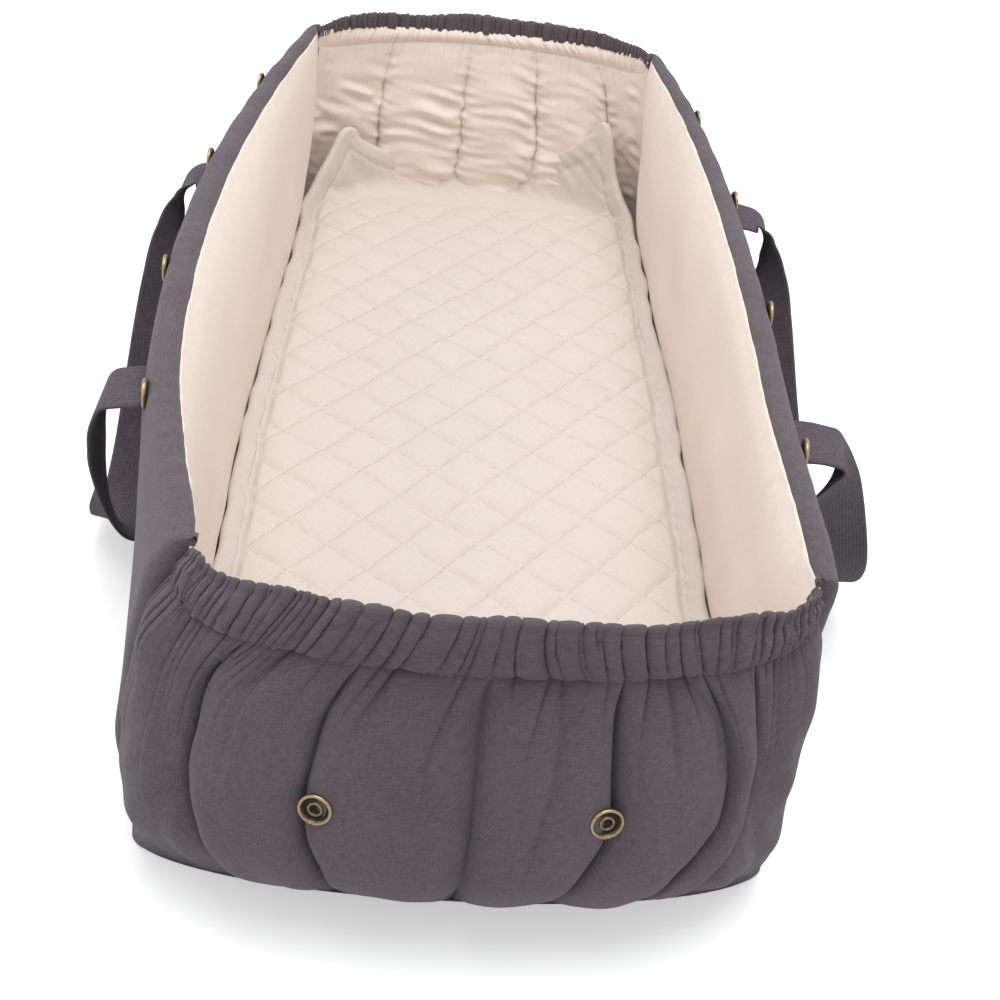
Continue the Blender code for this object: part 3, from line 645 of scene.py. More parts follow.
# Places of each main crease round the front and the back, as shares of the half width, foot to top
END_SEAMS = ((-1.0,) * 6, (1.0,) * 6)
FRONT_CREASES = (
    (-0.62, -0.74, -0.84, -0.85, -0.82, -0.70),
    (-0.34, -0.40, -0.470, -0.462, -0.43, -0.35),
    (0.01, 0.02, 0.030, 0.030, 0.03, 0.05),
    (0.28, 0.34, 0.440, 0.450, 0.445, 0.455),
    (0.55, 0.64, 0.80, 0.83, 0.79, 0.70),
    (0.66, 0.76, 0.87, 0.90, 0.895, 0.87),
)
BACK_CREASES = (
    (-0.46, -0.54, -0.57, -0.58, -0.58, -0.56),
    (-0.08, -0.09, -0.09, -0.09, -0.09, -0.08),
    (0.30, 0.34, 0.36, 0.36, 0.36, 0.35),
    (0.66, 0.74, 0.77, 0.78, 0.77, 0.72),
)
# Shorter folds: places from foot to top, the height share where each dies out, and its depth
FRONT_FOLDS = (
    ((-0.66, -0.69, -0.70, -0.71, -0.70, -0.56), 0.74, 0.0040),
    ((-0.33, -0.33, -0.33, -0.33, -0.31, -0.24), 0.66, 0.0036),
    ((0.15, 0.17, 0.215, 0.255, 0.27, 0.265), 0.30, 0.0050),
    ((0.10, 0.10, 0.11, 0.12, 0.12, 0.12), 0.84, 0.0030),
    ((0.56, 0.60, 0.63, 0.63, 0.62, 0.59), 0.62, 0.0045),
    ((0.70, 0.74, 0.78, 0.78, 0.76, 0.64), 0.55, 0.0035),
    ((-0.93, -0.93, -0.93, -0.93, -0.92, -0.88), 0.72, 0.0028),
    ((0.95, 0.95, 0.95, 0.95, 0.95, 0.94), 0.60, 0.0030),
)
BACK_FOLDS = (
    ((-0.80, -0.80, -0.80, -0.80, -0.79, -0.75), 0.6, 0.0026),
    ((-0.30, -0.31, -0.32, -0.32, -0.31, -0.28), 0.66, 0.0022),
    ((0.13, 0.13, 0.13, 0.13, 0.13, 0.12), 0.5, 0.0028),
    ((0.55, 0.57, 0.58, 0.58, 0.57, 0.53), 0.7, 0.0024),
)


def roundness(z):
    """Power of the end's plan at a height: boxy for the pad, an ellipse at the foot and at the rim."""
    pad = FOOT_ROUND + (PAD_ROUND - FOOT_ROUND) * ease(0.0, 0.05, z)
    return pad + (RIM_ROUND - PAD_ROUND) * ease(0.10, RIM_HEIGHT, z)


def to_angle(share, power):
    """Place round the end, from -1 to 1, of a share of the half width."""
    return np.sign(share) * np.arcsin(np.clip(np.abs(share) ** (power / 2), 0, 1)) / (math.pi / 2)


def facing(angle):
    """1 in the middle of an end, falling to 0 where it meets the side panels: a cosine."""
    return np.maximum(np.cos(angle * math.pi / 2), 0)


def end_plan(angle, half, depth, power):
    """Point of the end in plan: a superellipse, sine and cosine raised to two over its power."""
    angle = np.clip(angle, -1, 1)
    x = np.sign(angle) * np.abs(np.sin(angle * math.pi / 2)) ** (2 / power) * half
    return np.stack([x, facing(angle) ** (2 / power) * depth], axis=-1)


def end_point(way, angle, z, depth, seam, lift, rise=0.0):
    """Point of an end: the plan at its height, moved out along the plan's normal by lift and up by rise."""
    half = half_width(HALF_LENGTH, z) - seam - FOOT_DRAW * (1 - ease(0.0, 0.055, z))
    power = roundness(z)
    here = end_plan(angle, half, depth, power)
    along = end_plan(angle + 1e-3, half, depth, power) - end_plan(angle - 1e-3, half, depth, power)
    out = unit(np.stack([-along[..., 1], along[..., 0]], axis=-1))
    spot = here + out * np.broadcast_to(lift, here.shape[:-1])[..., None]
    y = way * (HALF_LENGTH + spot[..., 1])
    return settled(spot[..., 0], y, z + rise + 0 * y)


def rim_rise(way, angle):
    """The back rim stands a little higher in its middle, as the elastic there is less tight."""
    return BACK_RIM_RISE * max(way, 0) * facing(angle) ** 1.5


def stitch_line(way, angle):
    """Height of the casing's stitch line: it climbs to the corners, and to the middle of the back."""
    return STITCH_HEIGHT + STITCH_LIFT * np.abs(angle) ** 5 + rim_rise(way, angle) * 0.8


def rim_shift(way, z):
    """Sideways drift of an end at a height, as a share of its half width."""
    return drift(way * (HALF_LENGTH + END_BULGE), z) / half_width(HALF_LENGTH, z)


def channel_grid(way, creases, rows, step, foot):
    """Grid whose columns follow the creases, about a step apart at the stitch line.

    Gives the place round the end, the place across a channel (0 in its middle, 1 at a crease, but 0
    all the way towards a side panel, where there is no crease), the distance to the nearest crease,
    the channel's width and the share of the height.
    """
    up = 1 - (1 - np.linspace(0, 1, rows)) ** 1.15
    z = foot + (STITCH_HEIGHT - foot) * up
    lines = []
    for line in (END_SEAMS[0], *creases, END_SEAMS[1]):
        share = curve(up, CREASE_UP, line)
        inner = 0 if line in END_SEAMS else 1
        lines.append(to_angle(np.clip(share - inner * rim_shift(way, z), -1, 1), roundness(z)))
    columns = []
    for number, (left, right) in enumerate(zip(lines, lines[1:])):
        count = 2 * max(4, round(float(right[-1] - left[-1]) * END_ARC / step / 2))
        even = np.linspace(0, 1, count + 1)
        even = even if number == len(lines) - 2 else even[:-1]
        crowd = COLUMN_CROWD * (1 - up[:, None] ** 4)
        across = even - crowd * np.sin(2 * math.pi * even)
        width = (right - left)[:, None] + 0 * across
        lobe, edge = np.abs(2 * across - 1), np.minimum(across, 1 - across) * width * END_ARC
        plain = (number == 0) & (across < 0.5) | (number == len(lines) - 2) & (across > 0.5)
        angle = left[:, None] + width * across
        columns.append((angle, np.where(plain, 0, lobe), np.where(plain, 1, edge), width))
    return (*(np.hstack(parts) for parts in zip(*columns)), up[:, None])


def fold_dip(way, angle, up, folds):
    """Depth of the short folds: sharp in the middle, fading down from the stitch line."""
    z = STITCH_HEIGHT * up
    dip = 0
    for line, end, depth in folds:
        share = np.clip(curve(up, CREASE_UP, line) - rim_shift(way, z), -0.99, 0.99)
        away = np.abs(angle - to_angle(share, roundness(z))) * END_ARC
        fade = ease(end, min(end + 0.25, 1.0), up)
        dip = dip + depth * fade * (0.6 * np.exp(-away / 0.003) + 0.4 * np.exp(-(away / 0.010) ** 2))
    return dip


# %% [markdown]
# A casing is a tunnel for the elastic: the cloth goes up the outside, folds over the top and is
# stitched through below. The elastic shortens it, so it falls into gathers. A gather is a rounded
# ridge between two sharp valleys. The valleys stand unevenly and lean, and below the stitch line each
# one runs on for its own distance, so the folds fan out instead of stopping at a line.

# %% Gathers
CASING_RISE = RIM_HEIGHT - STITCH_HEIGHT
FAN_HEIGHT = 0.035
FAN_LEAST = 0.003
FAN_SPREAD = 0.042
CUSP_SHIFT = 0.125
RIDGE_HOOK = 0.22
LEAN_OVER = 0.55
LEAN_UNDER = 0.35
THREAD_PINCH = 0.0008
THREAD_REACH = 0.0014


def gather_marks(anchors, seed, count):
    """Uneven places of the valleys, where the nearest one to each anchor moves onto it."""
    marks = uneven_marks(count, seed, 0.30, 1.9)
    anchors = np.asarray(anchors)
    marks[np.abs(marks[None, :] - anchors[:, None]).argmin(axis=1)] = anchors
    return np.sort(marks)


def gathers(angle, height, anchors, seed, count, seam_depth, full_depth):
    """Gathers at places round an end and heights over the stitch line: how far they sink the cloth
    and how far they shift it sideways.

    Across a gather the cloth follows a cycloid: its height is a sine, and it moves sideways by a
    second sine, so that two neighbours meet in a sharp cleft. Each one leans by an amount of its own,
    and each cleft is deeper at one end of the casing than at the other.
    """
    rng = np.random.default_rng(seed)
    stitched = gather_marks(anchors, seed, count)
    over, under = uneven_marks(count, seed + 1), uneven_marks(count, seed + 2)
    over = stitched + LEAN_OVER * (over - stitched)
    under = stitched + LEAN_UNDER * (under - stitched)
    share = (angle + 1) / 2
    up, down = np.clip(height / CASING_RISE, 0, 1.1), np.clip(-height / FAN_HEIGHT, 0, 1)
    lean = up * np.interp(share, stitched, over - stitched)
    lean = lean + down * np.interp(share, stitched, under - stitched)
    counts = np.arange(count + 1)
    phase = np.interp(share - lean, stitched, counts)
    number = np.clip(np.floor(phase).astype(int), 0, count - 1)
    across = phase - number
    ridge = np.sin(math.pi * across) ** 0.6 * rng.uniform(0.55, 1.0, count)[number]
    low_end, high_end = rng.uniform(0.05, 1.0, (2, count + 1)) ** 0.8
    low_end, high_end = np.maximum(low_end, 0.35 * high_end), np.maximum(high_end, 0.35 * low_end)
    low_cleft, high_cleft = np.interp(phase, counts, low_end), np.interp(phase, counts, high_end)
    cleft = low_cleft * (1 - up) + high_cleft * up
    reach = np.interp(phase, counts, FAN_LEAST + FAN_SPREAD * rng.uniform(0, 1, count + 1) ** 2.0)
    fade = np.where(height < 0, np.exp(np.minimum(height, 0) / reach), 1)
    grow = 1 - np.exp(-np.abs(height) / 0.003)
    size = (seam_depth + (full_depth - seam_depth) * grow) * cleft * fade
    hook = rng.uniform(-RIDGE_HOOK, RIDGE_HOOK, count)[number] * np.sin(math.pi * across) ** 2
    width = 2 * np.diff(stitched)[number]
    shift = width * (hook - CUSP_SHIFT * np.sin(2 * math.pi * across))
    pinch = THREAD_PINCH * np.exp(-(height / THREAD_REACH) ** 2)
    return size * (1 - ridge) + pinch, shift * np.minimum(size / full_depth * 1.5, 1)


def top_anchors(way, creases, folds=()):
    """Where the creases and folds reach the stitch line, as shares of the way round."""
    tops = np.array([line[-1] for line in creases] + [line[-1] for line, _, _ in folds])
    share = np.clip(tops - rim_shift(way, STITCH_HEIGHT), -0.99, 0.99)
    return (to_angle(share, roundness(STITCH_HEIGHT)) + 1) / 2


# %% [markdown]
# The outside of an end is one cloth, so it is one grid: up over the channels of the pad to the stitch
# line, up the casing, round its top and down to the seam with the lining.

# %% Outer covers of the ends
COLUMN_STEP = 0.0007
PAD_ROWS = 119
LEG_ROWS = 21
TURN_ROWS = 20
LOBE_DEPTH = 0.0095
CUSP_DEPTH = 0.0050
CUSP_WIDTH = 0.0013
PAD_WAVE = 0.0013
PAD_RIPPLE = 0.0006
DRAG_DEPTH = 0.0006
CASING_FOLD = 0.0042
CASING_PUFF = 0.0022
CORNER_DROP = 0.0035
TOP_WAVE = 0.0010
TURN_END = 1.25
GATHER_SEAM_DEPTH = 0.0026
GATHER_DEPTH = 0.0056
SHOULDER = 0.0100
FINE_WAVE = 0.0004
FINEST_WAVE = 0.0002
# Height shares with the swell of the channels there, and with the push of the casing's shoulder
OUTER_SWELL = ((0, 0.08, 0.3, 0.6, 0.85, 0.96, 1.0), (0.15, 0.6, 1.0, 1.0, 0.75, 0.3, 0.0))
SHOULDER_PUSH = ((0, 0.3, 0.55, 0.8, 0.93, 1), (0.1, 0.45, 0.8, 1.0, 0.85, 0.40))


def corner_room(angle, z):
    """Share of the casing's full width at a place: it shrinks to nothing at the side panels."""
    return np.clip(facing(angle) ** (2 / roundness(z)) * 1.3, 0, 1)


def outer_lift(way, angle, lobe, edge, width, up, folds, room, seed):
    """How far the pad's cloth stands out: channels, folds, slow waves and drag lines by the creases."""
    z = FOOT + (stitch_line(way, angle[-1:]) - FOOT) * up
    full = curve(up, *OUTER_SWELL)
    sharp = np.minimum(full * 1.6, 1) * ease(0, 0.02, 1 - up)
    valley = (1 - (1 - lobe ** 3) ** 0.6) * (0.4 + 0.6 * room)
    lift = -full * LOBE_DEPTH * np.clip(width / 0.33, 0.3, 1.0) * valley
    cusp = sharp * CUSP_DEPTH * np.exp(-edge / CUSP_WIDTH)
    lift = lift - (cusp + fold_dip(way, angle, up, folds)) * room
    lift = lift + waves(angle * 0.2, z, 0.075, seed + 4) * PAD_WAVE * full
    lift = lift + waves(angle * 0.25, z * 0.6, 0.022, seed + 5) * PAD_RIPPLE * full
    drag = waves(angle * 0.2 + 0.5 * z, z * 0.3, 0.010, seed + 9) * np.exp(-edge / 0.012)
    return lift + drag * DRAG_DEPTH * full * ease(0.25, 0.9, up)


def casing_band(way, angle, side, anchors, seed, count):
    """The casing: up from the stitch line, round the elastic and down to the seam with the lining."""
    t = np.concatenate([np.linspace(0, 1, LEG_ROWS)[1:], np.ones(TURN_ROWS)])[:, None]
    turn = np.linspace(0, TURN_END, TURN_ROWS + 1)[1:]
    turn = np.concatenate([np.zeros(LEG_ROWS - 1), turn])[:, None] * math.pi
    turned = np.minimum(turn, math.pi)
    rise = rim_rise(way, angle)
    tail = np.maximum(turn - math.pi, 0) * CASING_FOLD * (1 + 2.2 * rise / BACK_RIM_RISE)
    squeeze = 1 - corner_room(angle, RIM_HEIGHT)
    low, top = stitch_line(way, angle), RIM_HEIGHT - CASING_FOLD + rise - CORNER_DROP * squeeze
    top = top + TOP_WAVE * waves(angle, 0 * angle, 0.25, seed + 6)
    z = low + (top - low) * t
    height = (z - low) / (top + CASING_FOLD - low) * CASING_RISE
    sink, shift = gathers(angle + 0 * z, height, anchors, seed, count, GATHER_SEAM_DEPTH, GATHER_DEPTH)
    sink = sink * (1 - 0.5 * squeeze)
    sink = sink + FINE_WAVE * waves(angle * 0.2, z * 0.6, 0.007, seed + 7)
    sink = sink + FINEST_WAVE * waves(angle * 0.2, z, 0.0035, seed + 8)
    puff = CASING_PUFF * np.sin(math.pi * np.minimum(t, 0.999)) ** 0.8
    puff = puff + 0.40 * SHOULDER * squeeze * (1 - 0.5 * t)
    span = END_BULGE * OUTER_DEPTH[-1] - END_INSIDE
    outside = (1 + np.cos(turned)) / 2
    seam = COVER_SEAM + (LINING_SEAM - COVER_SEAM) * (1 - outside)
    over = CASING_FOLD * np.sin(turned) - tail - 0.5 * sink * side * np.sin(turned)
    lift = (puff * outside - sink * np.cos(turned)) * side
    return end_point(way, angle + shift * side, z, END_INSIDE + span * outside, seam, lift, over)


def end_cover(way, creases, folds, seed, count):
    """Outer surface of an end; rows go from the foot over the top to the inner seam."""
    angle, lobe, edge, width, up = channel_grid(way, creases, PAD_ROWS, COLUMN_STEP, FOOT)
    anchors = top_anchors(way, creases, folds)
    first = angle[-1:]
    low = stitch_line(way, first)
    z = FOOT + (low - FOOT) * up
    side = ease(0.0, 0.04, 1 - np.abs(angle))
    room = corner_room(angle, z)
    depth = END_BULGE * curve(up, PROFILE_UP, OUTER_DEPTH)
    sink, shift = gathers(first + 0 * angle, z - low, anchors, seed, count, GATHER_SEAM_DEPTH, GATHER_DEPTH)
    shoulder = SHOULDER * curve(up, *SHOULDER_PUSH) * (1 - ease(0.10, 0.34, 1 - np.abs(angle)))
    lift = outer_lift(way, angle, lobe, edge, width, up, folds, room, seed)
    lift = lift - sink * (0.5 + 0.5 * room) + shoulder
    pad = end_point(way, angle + shift * side, z, depth, COVER_SEAM, lift * side)
    points = np.concatenate([pad, casing_band(way, first, side[-1:], anchors, seed, count)])
    return points if way < 0 else points[:, ::-1]


# Name of each end, its way along the carrycot, creases, folds, seed and count of gathers
ENDS = (
    ("front", -1, FRONT_CREASES, FRONT_FOLDS, 31, 58),
    ("back", 1, BACK_CREASES, BACK_FOLDS, 51, 84),
)


def add_end_covers():
    """Both outer covers, for the CAD's covers, wadding, casings and elastics; returns their grids."""
    grids = {}
    for name, way, creases, folds, seed, count in ENDS:
        grids[name] = end_cover(way, creases, folds, seed, count)
        piece = shell(name + "_pad_cover", grids[name], CLOTH, CANVAS)
        nodes = [name + part for part in ("_end_cover", "_end_wadding", "_casing", "_elastic")]
        declare(piece, "carrycot", nodes)
        print(piece.name, len(piece.data.polygons), "faces")
    return grids


END_GRIDS = add_end_covers()

# %% [markdown]
# Inside, the ends have the same channels in cream cotton, and the elastic shortens them too: level
# wrinkles run across each channel, and the top is a gathered band that meets the grey cloth.

# %% End linings
LINING_STEP = 0.0011
LINING_PAD_ROWS = 119
LINING_BAND_ROWS = 20
INNER_LOBE_DEPTH = 0.0065
INNER_CUSP_DEPTH = 0.0035
BAND_STOP = 0.0075
BACK_BAND_LIFT = 0.0085
INNER_CUSP_WIDTH = 0.0016
WRINKLE = 0.0019
WRINKLE_SAG = 0.007
WRINKLE_LENGTH = 0.0115
CREASE_WRINKLE_LENGTH = 0.0065
CREASE_WANDER = 0.004
BAND_PUFF = 0.0024
BAND_DRAW = 0.0012
LINING_GATHERS = (0.0008, 0.0022)
INNER_SWELL = ((0, 0.08, 0.3, 0.6, 0.8, 0.93, 1.0), (0.3, 0.8, 1.0, 1.0, 0.75, 0.3, 0.0))


def end_lining(way, creases, seed, count):
    """Inner surface of an end: rows from the floor to the seam with the grey cloth."""
    angle, lobe, edge, _, up = channel_grid(way, creases, LINING_PAD_ROWS, LINING_STEP, LINING_FOOT)
    anchors = top_anchors(way, creases)
    first = angle[-1:]
    low = stitch_line(way, first) + BACK_BAND_LIFT * max(way, 0) * facing(first) ** 1.2
    z = LINING_FOOT + (low - LINING_FOOT) * up
    side = ease(0.0, 0.05, 1 - np.abs(angle))
    room = corner_room(angle, z)
    depth = END_INSIDE * curve(up, PROFILE_UP, INNER_DEPTH)
    full = curve(up, *INNER_SWELL) * room
    valley = INNER_LOBE_DEPTH * (1 - (1 - lobe ** 2.6) ** 0.6)
    lift = full * (valley + INNER_CUSP_DEPTH * np.exp(-edge / INNER_CUSP_WIDTH))
    bent = z + WRINKLE_SAG * lobe ** 2
    strength = 0.45 + 0.55 * waves(angle * 0.2, z, 0.05, seed + 13)
    wrinkle = waves(angle * 0.04, bent, WRINKLE_LENGTH, seed + 11, 9) * strength
    near = np.exp(-edge / 0.007)
    wrinkle = wrinkle + waves(angle * 0.05, z, CREASE_WRINKLE_LENGTH, seed + 14) * near * 0.9
    lift = lift + WRINKLE * wrinkle * full * ease(0.05, 0.4, up)
    lift = lift + waves(angle * 0.2, z, 0.05, seed + 12) * 0.0010 * full
    wander = waves(0 * z, z, 0.016, seed + 15) * CREASE_WANDER * np.exp(-edge / 0.004) * full
    sink, shift = gathers(first + 0 * angle, z - low, anchors, seed + 20, count, *LINING_GATHERS)
    lift = lift + sink * room
    pad = end_point(way, angle + (shift + wander) * side, z, depth, LINING_SEAM, lift * side)
    angle, side = first, side[-1:]
    t = np.linspace(0, 1, LINING_BAND_ROWS + 1)[1:, None]
    stop = RIM_HEIGHT + rim_rise(way, angle) * 0.2 - BAND_STOP
    z = low + (stop - low) * t
    height = (z - low) / (stop - low) * CASING_RISE
    sink, shift = gathers(angle + 0 * z, height, anchors, seed + 20, count, *LINING_GATHERS)
    puff = (BAND_PUFF * np.sin(math.pi * t) - BAND_DRAW * t) * corner_room(angle, z)
    band = end_point(way, angle + shift * side, z, END_INSIDE, LINING_SEAM, (sink - puff) * side)
    points = np.concatenate([pad, band])
    return points[:, ::-1] if way < 0 else points


for end_name, end_way, end_creases, _, end_seed, end_count in ENDS:
    end_grid = end_lining(end_way, end_creases, end_seed, end_count)
    end_piece = shell(end_name + "_pad_lining", end_grid, LINING_CLOTH, COTTON)
    declare(end_piece, "carrycot", [end_name + "_end_lining"])

# %% [markdown]
# The stitches that hold the elastic are small dashes of thread, lighter than the cloth. Each is the
# same little capsule, laid along the stitch line at even steps and half sunk into the cloth.

# %% Stitches of the casings
STITCH_LENGTH = 0.0024
STITCH_PITCH = 0.0036
STITCH_RADIUS = 0.00032
STITCH_SIDES = 5


def along_line(path, outward):
    """Place, tangent and outward direction at even steps along a path."""
    travel = travelled(path)
    at = np.arange(STITCH_PITCH, travel[-1] - STITCH_PITCH, STITCH_PITCH)
    return [np.stack([np.interp(at, travel, rows[:, k]) for k in range(3)], axis=1)
            for rows in (path, np.gradient(path, axis=0), outward)]


def stitches(name, lines, material, body, radius=STITCH_RADIUS):
    """Capsules along lines: five-sided rings whose radius shrinks towards both tips, bent into an arch."""
    spot, tangent, out = (np.concatenate(parts) for parts in zip(*(along_line(*line) for line in lines)))
    tangent, out = unit(tangent), unit(out)
    side = unit(np.cross(tangent, out))
    along = np.array([-0.5, -0.25, 0.25, 0.5])
    arch = radius * (0.9 * np.cos(math.pi * along) - 0.1)
    turn = np.linspace(0, 2 * math.pi, STITCH_SIDES + 1)[:-1]
    thick = np.array([0.45, 1.0, 1.0, 0.45]) * radius
    above = np.outer(thick, np.sin(turn)).ravel() + np.repeat(arch, STITCH_SIDES)
    local = np.stack([np.repeat(along * STITCH_LENGTH, STITCH_SIDES),
                      np.outer(thick, np.cos(turn)).ravel(), above], axis=1)
    frames = np.stack([tangent, side, out], axis=1)
    verts = (spot[:, None] + np.einsum("vk,ski->svi", local, frames)).reshape(-1, 3)
    shift = np.arange(len(spot))[:, None, None] * len(local)
    faces = [(group[None] + shift).reshape(-1, group.shape[1]) for group in tube_faces(4, STITCH_SIDES)]
    declare(build_mesh(name, verts, faces, material, verts[:, :2]), body)
    print(name, len(spot), "stitches")


for end_name, grid in END_GRIDS.items():
    line = grid[PAD_ROWS - 1], normals(grid)[PAD_ROWS - 1]
    stitches(end_name + "_casing_stitches", [line], THREAD, "carrycot")

# %% [markdown]
# The base is a flat panel sewn round its edge, so it follows the foot of the sides and ends.

# %% Base panel
BASE_COLUMNS = 61
BASE_ROWS = 141
BASE_INSET = 0.0006
BASE_EDGE_RISE = 0.0004


def base_panel():
    """Flat grid whose rows run from side to side, shortened inside the rounded ends."""
    depth = END_BULGE * OUTER_DEPTH[0]
    reach = np.sin(np.linspace(-1, 1, BASE_ROWS) * math.pi / 2) * (HALF_LENGTH + depth - BASE_INSET)
    into = np.clip((np.abs(reach) - HALF_LENGTH) / depth, 0, 1)
    beside = np.minimum(np.abs(reach), HALF_LENGTH)
    side = half_width(beside, 0) - foot_tuck(beside, 0)
    round_end = np.maximum(1 - into ** FOOT_ROUND, 0) ** (1 / FOOT_ROUND)
    end_half = FOOT_HALF_WIDTH - FOOT_NARROWING - COVER_SEAM - FOOT_DRAW
    half = np.where(np.abs(reach) > HALF_LENGTH, end_half * round_end, side)
    x = np.linspace(-1, 1, BASE_COLUMNS)[:, None] * half[None, :]
    edge = np.abs(np.linspace(-1, 1, BASE_COLUMNS))[:, None] ** 12
    return np.stack([x, reach + 0 * x, BASE_EDGE_RISE * edge + 0 * x], axis=2)


def add_base_panel():
    """The panel as a sheet."""
    bottom = base_panel()
    piece = shell("base_panel", bottom, CLOTH, CANVAS, bottom + np.array([0, 0, CLOTH]))
    declare(piece, "carrycot", ["base_cover"])


add_base_panel()

# %% [markdown]
# The mattress is a flat foam block in a plain cotton bag, with a soft edge all round.

# %% Mattress
MATTRESS_LOW, MATTRESS_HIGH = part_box("mattress_cover")
MATTRESS_CORNER = 0.100
CORNER_SPREAD = 1.6
MATTRESS_COLUMNS = 240
# Rows of the bag past its flat middle: share of the way out, and height from its middle
EDGE_SHARES = (0.96, 0.985, 0.997, 1.0, 1.0, 0.997, 0.985, 0.96)
EDGE_HEIGHTS = (-0.97, -0.85, -0.6, -0.25, 0.25, 0.6, 0.85, 0.97)
FLAT_SHARES = np.linspace(0.02, 0.9, 12)


def mattress_outline(angle):
    """Rounded rectangle in plan, as a point for each angle round it."""
    core = np.array([MATTRESS_HIGH.x, MATTRESS_HIGH.y]) - MATTRESS_CORNER
    way = np.stack([np.cos(angle), np.sin(angle)], axis=-1)
    return np.sign(way) * core * np.clip(np.abs(way) * CORNER_SPREAD, 0, 1) + MATTRESS_CORNER * way


def add_mattress():
    """Closed bag: rows go from the middle of the underside, round the edge, to the middle of the top."""
    outline = mattress_outline(np.linspace(0, 2 * math.pi, MATTRESS_COLUMNS + 1)[:-1])
    low, high = MATTRESS_LOW.z, MATTRESS_HIGH.z
    share = np.concatenate([FLAT_SHARES, EDGE_SHARES, FLAT_SHARES[::-1]])[:, None]
    flat = np.ones(len(FLAT_SHARES))
    height = np.concatenate([-flat, EDGE_HEIGHTS, flat])[:, None]
    level = (low + high) / 2 + (high - low) / 2 * height
    grid = np.stack([share * outline[:, 0], share * outline[:, 1], level + 0 * outline[:, 0]], axis=2)
    verts = grid.reshape(-1, 3)
    piece = build_mesh("mattress_bag", verts, tube_faces(*grid.shape[:2]), COTTON, verts[:, :2])
    declare(piece, "mattress", ["mattress_cover", "mattress_foam"])


add_mattress()

# %% [markdown]
# The topper is two cotton layers over thin wadding, sewn in diamonds. Two families of slanted seams
# cross, and the cloth sinks at each seam and swells between them. It is a plain rectangle, and the
# mattress has round corners, so its corners have no bed under them and stand up against the soft
# end. That lift is a bend: cloth past the mattress's outline turns up as it goes on.

# %% Quilted topper
TOPPER_LOW, TOPPER_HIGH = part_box("quilted_topper")
DIAMOND_HALF_WIDTH = 0.0222
DIAMOND_HALF_LENGTH = 0.0234
DIAMOND_START = (-0.0498, -0.0074)
DIAMOND_TURN = 0.11
DIAMOND_SIDE = math.hypot(DIAMOND_HALF_WIDTH, DIAMOND_HALF_LENGTH)
SEAM_STEP = DIAMOND_HALF_WIDTH * DIAMOND_HALF_LENGTH / DIAMOND_SIDE
TOPPER_HALF_WIDTH = 0.1385
EDGE_PRESS = 0.0004
EDGE_CURL = 0.0060
EDGE_CURL_WIDTH = 0.010
FAR_CLIMB = 0.011
FAR_CLIMB_START = 0.335
TOPPER_ENDS = (-0.345, 0.372)
TOPPER_CORNER = 0.016
HEM = 0.013
PLAIN_BAND = 0.052
TOPPER_COLUMNS = 241
TOPPER_ROWS = 521
BEND_CORNER = 0.125
BEND_START = 0.030
BEND_STEEP = 1.42
BEND_REACH = 0.09
BEND_STEPS = 400
SEAM_SINK = 0.0012
SEAM_SINK_WIDTH = 0.0013
PILLOW_SINK = 0.0019
PILLOW_SINK_WIDTH = 0.0055
PUCKER = 0.00035
HEM_HEIGHT = 0.0050
HEM_SINK = 0.0016
QUILTING_THREAD = 0.00026
SEAM_NUMBER = 13
SEAM_SAMPLE = 0.08
HEM_SAMPLES = (300, 120)
BESIDE_ALONG = (-0.30, 0.285)


def turned_up(x, y):
    """Place of the flat sheet's points once laid: past the mattress's outline they bend up.

    The slope grows smoothly with the distance past the outline, and the sums of its cosine and sine
    give how far out and how high the cloth gets.
    """
    reach = np.linspace(0, BEND_REACH, BEND_STEPS)
    slope = BEND_STEEP * ease(0, BEND_START, reach)
    out = np.concatenate([[0], np.cumsum(np.cos(slope[1:]))]) * reach[1]
    high = np.concatenate([[0], np.cumsum(np.sin(slope[1:]))]) * reach[1]
    core = np.array([TOPPER_HALF_WIDTH, TOPPER_HIGH.y]) - BEND_CORNER
    over = np.maximum(np.stack([np.abs(x) - core[0], np.abs(y) - core[1]], axis=-1), 0)
    far = np.linalg.norm(over, axis=-1)
    past = np.maximum(far - BEND_CORNER, 0)
    back = (np.interp(past, reach, out) - past) / np.maximum(far, 1e-9)
    drawn = [flat + np.sign(flat) * over[..., k] * back for k, flat in enumerate((x, y))]
    return np.stack([*drawn, np.interp(past, reach, high)], axis=-1)


def inside(x, y, near, far):
    """Distance in from a border that runs near inside three edges and far inside the fourth."""
    lengthwise = np.minimum(y - TOPPER_ENDS[0] - near, TOPPER_ENDS[1] - far - y)
    return np.minimum(TOPPER_HALF_WIDTH - near - np.abs(x), lengthwise)


